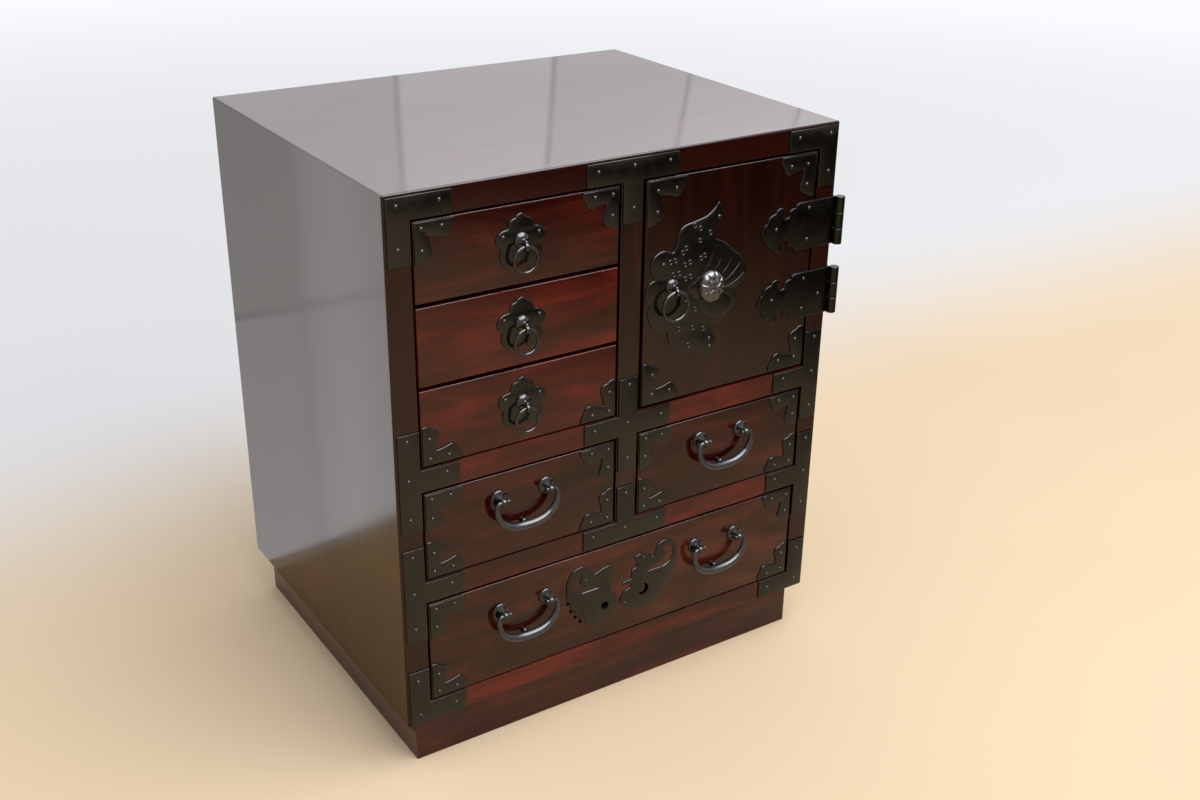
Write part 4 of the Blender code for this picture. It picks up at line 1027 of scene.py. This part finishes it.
def build_bottom_drawer():
    """The wide drawer with two bails and two lock plates."""
    name = "bottom_drawer"
    board = build_front(name, name + "_front", DRAWER_FRONT, DRAWER_IRON_LEG, ALL_CORNERS, DRAWER_NAILS)
    dress_node(name + "_box", WOOD_ALONG_Y, soften=0.8)
    low, high = node_box(name + "_front")
    middle = (low.z + high.z) / 2
    for side, x in (("left", -107.0), ("right", 107.0)):
        build_handle(f"{name}_{side}", name, x, 88.45)
    right_window = run_back([(2 * LOCK_MIRROR_X - x, z, bulge) for x, z, bulge in LOCK_WINDOW])
    left_lock = build_lock(name + "_lock_plate_left", LEFT_LOCK, LOCK_WINDOW, middle)
    right_lock = build_lock(name + "_lock_plate_right", RIGHT_LOCK, right_window, middle)
    # The keyholes and the lock's pits get dark lined wells: painted shade in the holes.
    for side, lock, (x, z), radius in (
        ("left", left_lock, LEFT_KEYHOLE, LEFT_KEYHOLE_RADIUS),
        ("right", right_lock, RIGHT_KEYHOLE, RIGHT_KEYHOLE_RADIUS),
    ):
        shade_well(f"{name}_keyhole_{side}", [lock, board], x, middle + z, radius)
    for number, (x, z) in enumerate(LOCK_PITS):
        shade_well(f"{name}_lock_pit_{number}", [left_lock, board], x, middle + z, LOCK_PIT_RADIUS)
    heads = bmesh.new()
    for x, z in LOCK_NAILS:
        nail(heads, x, middle + z, RELIEF_FRONT, LOCK_NAIL_RADIUS)
    add_piece(name + "_lock_nails", heads, name, BRIGHT_IRON)
    cover = bmesh.new()
    x, z = RIGHT_KEYHOLE[0] + COVER_SHIFT[0], middle + RIGHT_KEYHOLE[1] + COVER_SHIFT[1]
    head = dome(COVER_RADIUS, RELIEF_FRONT + COVER_RISE, COVER_RISE, steps=4)
    turned(cover, [(COVER_RADIUS, RELIEF_BACK)] + head, (x, 0.0, z))
    add_piece(name + "_keyhole_cover", cover, name, PLATE_IRON)


# Butterfly, about the door's ring post

WING_MIDDLE = (37.5, -8.0)
WING_REACH = [
    (-180, 20.0), (-170, 17.0), (-120, 11.0), (-60, 10.5), (-14, 15.0), (-10, 28.0), (-4, 38.6), (8, 43.9),
    (25, 41.5), (42, 39.3), (60, 39.5), (78, 37.9), (84, 28.0), (93, 21.0), (110, 16.5), (129, 14.2), (150, 16.0),
    (174, 21.0), (180, 20.0),
]
WING_RISE = 1.2
WING_RIBS = [
    [(36.5, 10.0), (38.8, 14.0), (40.5, 19.0)], [(45.5, 8.0), (49.0, 12.0), (51.5, 17.0)],
    [(53.5, 2.0), (59.5, 8.0), (63.5, 14.0)], [(57.5, -5.0), (66.5, 1.0), (73.5, 8.0)],
    [(56.5, -11.0), (69.5, -8.0), (79.5, -1.0)],
]
RIB = 0.5
WING_EDGE = [(16.5, -6.0), (24.5, -1.5), (31.5, 4.0), (36.0, 9.0), (39.5, 15.5), (41.5, 20.5)]
BEAD = 0.5
BOSS = (41.5, -7.5)
BOSS_HALF = (13.6, 15.0)
BOSS_RISE = 6.0
BOSS_ROOT = 2.0
PETAL_ROWS = [(9, 0.0, 0.55, 1.0), (6, 0.5, 0.15, 0.58)]
PETAL_RISE = 1.2
LOWER_WING = (49.5, -26.0)
LOWER_WING_HALF = (17.0, 12.5)
LOWER_WING_TURN = -20.0
LOWER_WING_RISE = 0.9
WING_DOTS = [
    (22.5, 51.0), (28.5, 47.5), (39.5, 42.0), (28.5, 36.5), (14.0, 32.0), (10.5, 28.5), (3.0, 22.5), (-2.5, 22.0),
    (13.5, 17.0), (18.5, 18.5), (34.5, 22.0), (30.5, 20.0), (1.5, 10.0), (7.5, 10.0), (14.5, 4.0), (20.0, 5.0),
    (16.0, -19.0), (26.5, -26.5), (9.5, -42.0), (24.5, -44.0), (36.5, -47.0), (20.5, -60.0),
]
BUTTERFLY_NAILS = [(48.5, 55.0), (-9.5, 21.0), (43.5, -58.0), (44.5, -66.0)]
DOT_PROFILE = [(2.4, 0.3), (2.4, -0.15), (2.2, -0.5), (1.9, -0.65), (1.6, -0.5), (1.4, -0.1), (0.05, -0.1)]


def between(table, place):
    """A value from a table of places and values, eased from one to the next."""
    for (p0, v0), (p1, v1) in zip(table, table[1:]):
        if place <= p1:
            part = (place - p0) / (p1 - p0)
            return v0 + (v1 - v0) * part
    return table[-1][1]


def wing_rise(part):
    """How far the wing stands out from the plate, from its middle to its rim."""
    return 0.5 + WING_RISE * math.sin(math.pi * min(1.0, 0.28 + 0.72 * part))


def wing(shape, x, z):
    """The raised wing: a shell that bulges forward."""
    steps = 16
    middle = Vector((x + WING_MIDDLE[0], z + WING_MIDDLE[1]))
    levels = [(1.0, -0.3)] + [(1.0 - step / steps, wing_rise(1.0 - step / steps)) for step in range(steps)]
    rings = []
    for part, rise in levels:
        ring = []
        for angle in range(-180, 180, 2):
            spot = middle + part * between(WING_REACH, angle) * Vector((
                math.cos(math.radians(angle)), math.sin(math.radians(angle)),
            ))
            ring.append((spot.x, IRON_FRONT - rise, spot.y))
        rings.append(ring)
    loft(shape, rings)


def wing_ribs(shape, x, z):
    """Thin curved ribs that lie on the wing, each bent through three points."""
    steps = 10
    for first, bend, last in WING_RIBS:
        path = []
        for step in range(steps + 1):
            t = step / steps
            pull = Vector(bend) * 2 - (Vector(first) + Vector(last)) / 2
            spot = Vector(first) * (1 - t) ** 2 + pull * 2 * t * (1 - t) + Vector(last) * t ** 2
            off = spot - Vector(WING_MIDDLE)
            part = off.length / between(WING_REACH, math.degrees(math.atan2(off.y, off.x)))
            path.append(Vector((x + spot.x, IRON_FRONT - wing_rise(min(part, 1.0)), z + spot.y)))
        radii = [RIB * math.sqrt(math.sin(math.pi * (0.04 + 0.92 * k / steps))) for k in range(steps + 1)]
        tube(shape, path, radii, sides=8)


def bump_patch(shape, x, z, half, rise, turn=0.0, lobes=0, depth=0.0, root=0.0):
    """A smooth oval boss on the plate; lobes wave its rim and its crown."""
    rings = []
    sides, steps = 56, 9
    tilt = math.radians(turn)
    levels = [(1.0, -0.3)]
    for k in range(steps):
        turn_up = math.pi / 2 * k / steps
        levels.append((math.cos(turn_up), math.sin(turn_up)))
    for share, height in levels:
        ring = []
        for i in range(sides):
            angle = math.tau * i / sides
            wave = 1.0 + depth * math.cos(lobes * angle) * share
            u, v = half[0] * share * wave * math.cos(angle), half[1] * share * wave * math.sin(angle)
            px = u * math.cos(tilt) - v * math.sin(tilt)
            pz = u * math.sin(tilt) + v * math.cos(tilt)
            ring.append((x + px, IRON_FRONT - root - rise * height * wave, z + pz))
        rings.append(ring)
    loft(shape, rings)


def petal_boss(shape, x, z):
    """A domed boss with two rows of petals about its middle."""
    sides, steps = 108, 18
    rings = []
    levels = [(1.0, RELIEF_BACK)] + [(1.0 - k / steps, None) for k in range(steps)]
    for share, buried in levels:
        ring = []
        for i in range(sides):
            rise = BOSS_ROOT + BOSS_RISE * math.sqrt(max(1.0 - share * share, 0.0))
            for count, shift, inner, outer in PETAL_ROWS:
                across = 2 * ((count * i / sides + shift) % 1.0) - 1
                along_petal = (2 * share - inner - outer) / (outer - inner)
                if abs(along_petal) < 1:
                    rise += PETAL_RISE * math.sqrt((1 - across * across) * (1 - along_petal * along_petal))
            y = IRON_FRONT + buried if buried else IRON_FRONT - rise
            angle = math.tau * i / sides
            across, up = BOSS_HALF[0] * math.cos(angle), BOSS_HALF[1] * math.sin(angle)
            ring.append((x + share * across, y, z + share * up))
        rings.append(ring)
    loft(shape, rings)


def build_butterfly(x, z):
    """The butterfly plate with its ribbed wing, bosses, ringed dots, nails and the ring's post."""
    shape = bmesh.new()
    plate(shape, moved(arc_points(BUTTERFLY), x, z), edge=ORNAMENT_EDGE)
    wing(shape, x, z)
    bump_patch(shape, x + LOWER_WING[0], z + LOWER_WING[1], LOWER_WING_HALF, LOWER_WING_RISE, LOWER_WING_TURN)
    add_piece("butterfly", shape, "door", PLATE_IRON, ["butterfly_plate"])
    post = bmesh.new()
    ring_post(post, x, z, DOOR_RING_WIRE)
    add_piece("butterfly_ring_post", post, "door", BRIGHT_IRON)
    boss = bmesh.new()
    petal_boss(boss, x + BOSS[0], z + BOSS[1])
    add_piece("butterfly_boss", boss, "door", BOSS_IRON)
    dots = bmesh.new()
    for dot_x, dot_z in WING_DOTS:
        turned(dots, DOT_PROFILE, (x + dot_x, IRON_FRONT, z + dot_z), sides=18)
    add_piece("butterfly_dots", dots, "door", PLATE_IRON)
    lines = bmesh.new()
    wing_ribs(lines, x, z)
    edge = [Vector((x + px, IRON_FRONT - BEAD, z + pz)) for px, pz in WING_EDGE]
    tube(lines, edge, [BEAD] * len(edge), sides=8)
    add_piece("butterfly_ribs", lines, "door", BRIGHT_IRON)
    heads = bmesh.new()
    for nail_x, nail_z in BUTTERFLY_NAILS:
        nail(heads, x + nail_x, z + nail_z)
    add_piece("butterfly_nails", heads, "door", BRIGHT_IRON)


# Hinges

HINGE_HEIGHT = 45.5
HINGE_REACH = 88.6
KNUCKLE_RADIUS = 4.5
KNUCKLE_FORWARD = 3.5
KNUCKLE_X = HALF_WIDTH + 0.3 + KNUCKLE_RADIUS
STRAP_NAILS = [(16.6, 1.8), (53.5, 16.5), (53.5, -13.2), (72.4, -1.8)]
LEAF_DEPTH = 36.0
LEAF_NAILS = [(12.0, 14.0), (12.0, -14.0), (28.0, 0.0)]


def hinge_strap_outline():
    """A strap about its middle height, with a cloud-shaped tip at its left."""
    half = HINGE_HEIGHT / 2
    spread = half / HINGE_TIP[-1][1]
    upper = [(KNUCKLE_X - HINGE_REACH + px, pz * spread, bulge) for px, pz, bulge in HINGE_TIP]
    lower = run_back([(px, -pz, bulge) for px, pz, bulge in upper])
    end = KNUCKLE_X - KNUCKLE_RADIUS - 0.3
    knuckle = HINGE_HEIGHT / 6 - 0.2
    right = [(end, half, 0.0), (end, knuckle, 0.0), (KNUCKLE_X, knuckle, 0.0)]
    return arc_points(upper + right + run_back([(px, -pz, 0.0) for px, pz, _ in right]) + lower[:-1])


def build_hinges():
    """Two hinges: the door's strap with the middle knuckle, the case's leaf with the outer ones and the pin."""
    for name in ("upper_hinge", "lower_hinge"):
        low, high = node_box(name + "_leaf")
        z = (low.z + high.z) / 2
        strap = bmesh.new()
        plate(strap, moved(hinge_strap_outline(), 0.0, z), edge=ORNAMENT_EDGE)
        knuckle = HINGE_HEIGHT / 6
        rod(strap, KNUCKLE_RADIUS, (KNUCKLE_X, -KNUCKLE_FORWARD, z), knuckle - 0.2, "z")
        add_piece(name + "_strap_plate", strap, "door", HINGE_IRON, [name + "_strap"])
        heads = bmesh.new()
        for nail_x, nail_z in STRAP_NAILS[:3] if name == "upper_hinge" else STRAP_NAILS:
            nail(heads, KNUCKLE_X - HINGE_REACH + nail_x, z + nail_z)
        add_piece(name + "_strap_nails", heads, "door", BRIGHT_IRON)
        leaf = bmesh.new()
        face = HALF_WIDTH + 1.5
        half, clip = HINGE_HEIGHT / 2, 6.0
        outline = [
            (-1.0, half), (LEAF_DEPTH - clip, half), (LEAF_DEPTH, half - clip), (LEAF_DEPTH, clip - half),
            (LEAF_DEPTH - clip, -half), (-1.0, -half),
        ]
        rings = []
        for inset, x in ((0.0, face - 1.3), (0.0, face - 0.4), (0.4, face)):
            rings.append([(x, py, z + pz) for py, pz in drawn_in(outline, inset)])
        loft(leaf, rings)
        slot = knuckle + 0.2
        for sign in (-1, 1):
            middle = (KNUCKLE_X, -KNUCKLE_FORWARD, z + sign * (slot + half) / 2)
            rod(leaf, KNUCKLE_RADIUS, middle, (half - slot) / 2, "z")
        rod(leaf, 2.4, (KNUCKLE_X, -KNUCKLE_FORWARD, z), half - 0.05, "z", ease=0.8)
        for nail_y, nail_z in LEAF_NAILS:
            side_nail(leaf, face, nail_y, z + nail_z)
        add_piece(name + "_leaf_plate", leaf, "case", HINGE_IRON, [name + "_leaf"])


def side_nail(shape, x, y, z):
    """A domed nail head on a plate that faces +x."""
    rings = []
    profile = [(NAIL_RADIUS, 0.3)] + dome(NAIL_RADIUS, 0.0, NAIL_HEIGHT, steps=4)
    for radius, back in profile:
        ring = []
        for i in range(14):
            angle = math.tau * i / 14
            reach = max(radius, 0.01)
            ring.append((x - back, y + reach * math.cos(angle), z + reach * math.sin(angle)))
        rings.append(ring)
    loft(shape, rings)


def build_door():
    """The door with its corner irons, hinges, butterfly plate and ring."""
    build_front("door", "door_panel", DOOR_PANEL, DOOR_IRON_LEG, ALL_CORNERS, DOOR_NAILS)
    low, high = node_box("door_panel")
    post_x, post_z = low.x + POST_INSET, (low.z + high.z) / 2 + POST_RISE
    build_butterfly(post_x, post_z)
    ring = bmesh.new()
    hanging_ring(ring, post_x, post_z, DOOR_RING_RADIUS, DOOR_RING_WIRE)
    add_piece("door_round_ring", ring, "door_ring", BRIGHT_IRON, ["door_ring"])
    build_hinges()


def add_stage(name, low, high, material):
    """A flat sheet between two corners that isn't part of the object: level, or upright where heights differ."""
    low, high = Vector(low), Vector(high)
    middle = (low + high) / 2
    corners = [low, Vector((high.x, low.y, low.z)), high, Vector((low.x, high.y, high.z))]
    mesh = bpy.data.meshes.new(name)
    mesh.from_pydata([corner - middle for corner in corners], [], [(0, 1, 2, 3)])
    mesh.materials.append(material)
    piece = bpy.data.objects.new(name, mesh)
    piece.location = middle
    bpy.context.scene.collection.objects.link(piece)
    return piece


# Painted shade in the mirrored floor: the floor sheet darkens to near black towards the right.
FLOOR_REFLECTION_SHADE_STOPS = [
    (0.0, 1.0), (0.1, 0.95), (0.2, 0.83), (0.3, 0.66), (0.4, 0.45), (0.5, 0.27), (0.6, 0.15), (0.75, 0.07),
    (0.95, 0.03),
]


def build_stage():
    """A wide pale floor, and sheets on it and behind the chest that only show in its gloss: painted reflections,
    with painted shade in the mirrored floor.
    """
    add_stage("floor", (-15.0, -15.0, 0.0), (15.0, 15.0, 0.0), floor_material())
    # Painted reflections: the floor sheets paint shade in the mirrored floor, the left one darker next to the
    # chest's side; the upright sheets glow as tiled walls behind the chest and at its left.
    cards = [
        ("floor_card", (-0.2, -3.8, 0.002), (3.4, -0.2, 0.002), (1.0, -0.05, 0.0), (-1.8, 0.2),
         FLOOR_REFLECTION_SHADE_STOPS, (0.83, 0.63, 0.39), 0.0),
        ("left_floor_card", (-1.3, -1.2, 0.002), (-0.232, 0.205, 0.002), (-1.0, 0.0, 0.0), (-0.534, -0.346),
         [(0.0, 0.3), (0.2, 0.7), (1.0, 1.0)], (1.0, 0.65, 0.32), 0.0),
        ("top_card", (-0.9, 0.215, 0.536), (1.6, 0.215, 1.2), (-0.74, 0.0, 7.4), (-3.046, -0.546),
         [(0.0, 0.167), (1.0, 1.0)], (1.0, 0.98, 1.0), 2.85),
        ("side_card", (-1.2, 0.215, 0.01), (-0.236, 0.215, 0.59), (-1.0, 0.0, 0.0), (-0.482, -0.302),
         [(0.0, 0.38), (0.5, 0.53), (1.0, 0.78)], (1.0, 0.97, 0.96), 2.55),
    ]
    for name, low, high, direction, reach, stops, colour, glow in cards:
        card = add_stage(name, low, high, painted_reflection_card(name, direction, reach, stops, colour, glow))
        card.visible_camera = False
        card.visible_diffuse = False
        card.visible_shadow = False
        card.visible_transmission = False


bpy.context.scene.view_settings.view_transform = "Standard"
add_camera()
add_world()
build_stage()
build_case()
build_case_irons()
build_small_drawers()
build_middle_drawers()
build_bottom_drawer()
build_door()
add_area_light("key_light", (0.5, -1.0, 2.2), (0.0, 0.0, 0.3), (2.0, 2.0), 40.0)
add_area_light("sky_panel", (0.1, -1.25, 1.9), (0.1, -1.25, 0.0), (2.3, 2.5), 125.0, gloss_only=True)
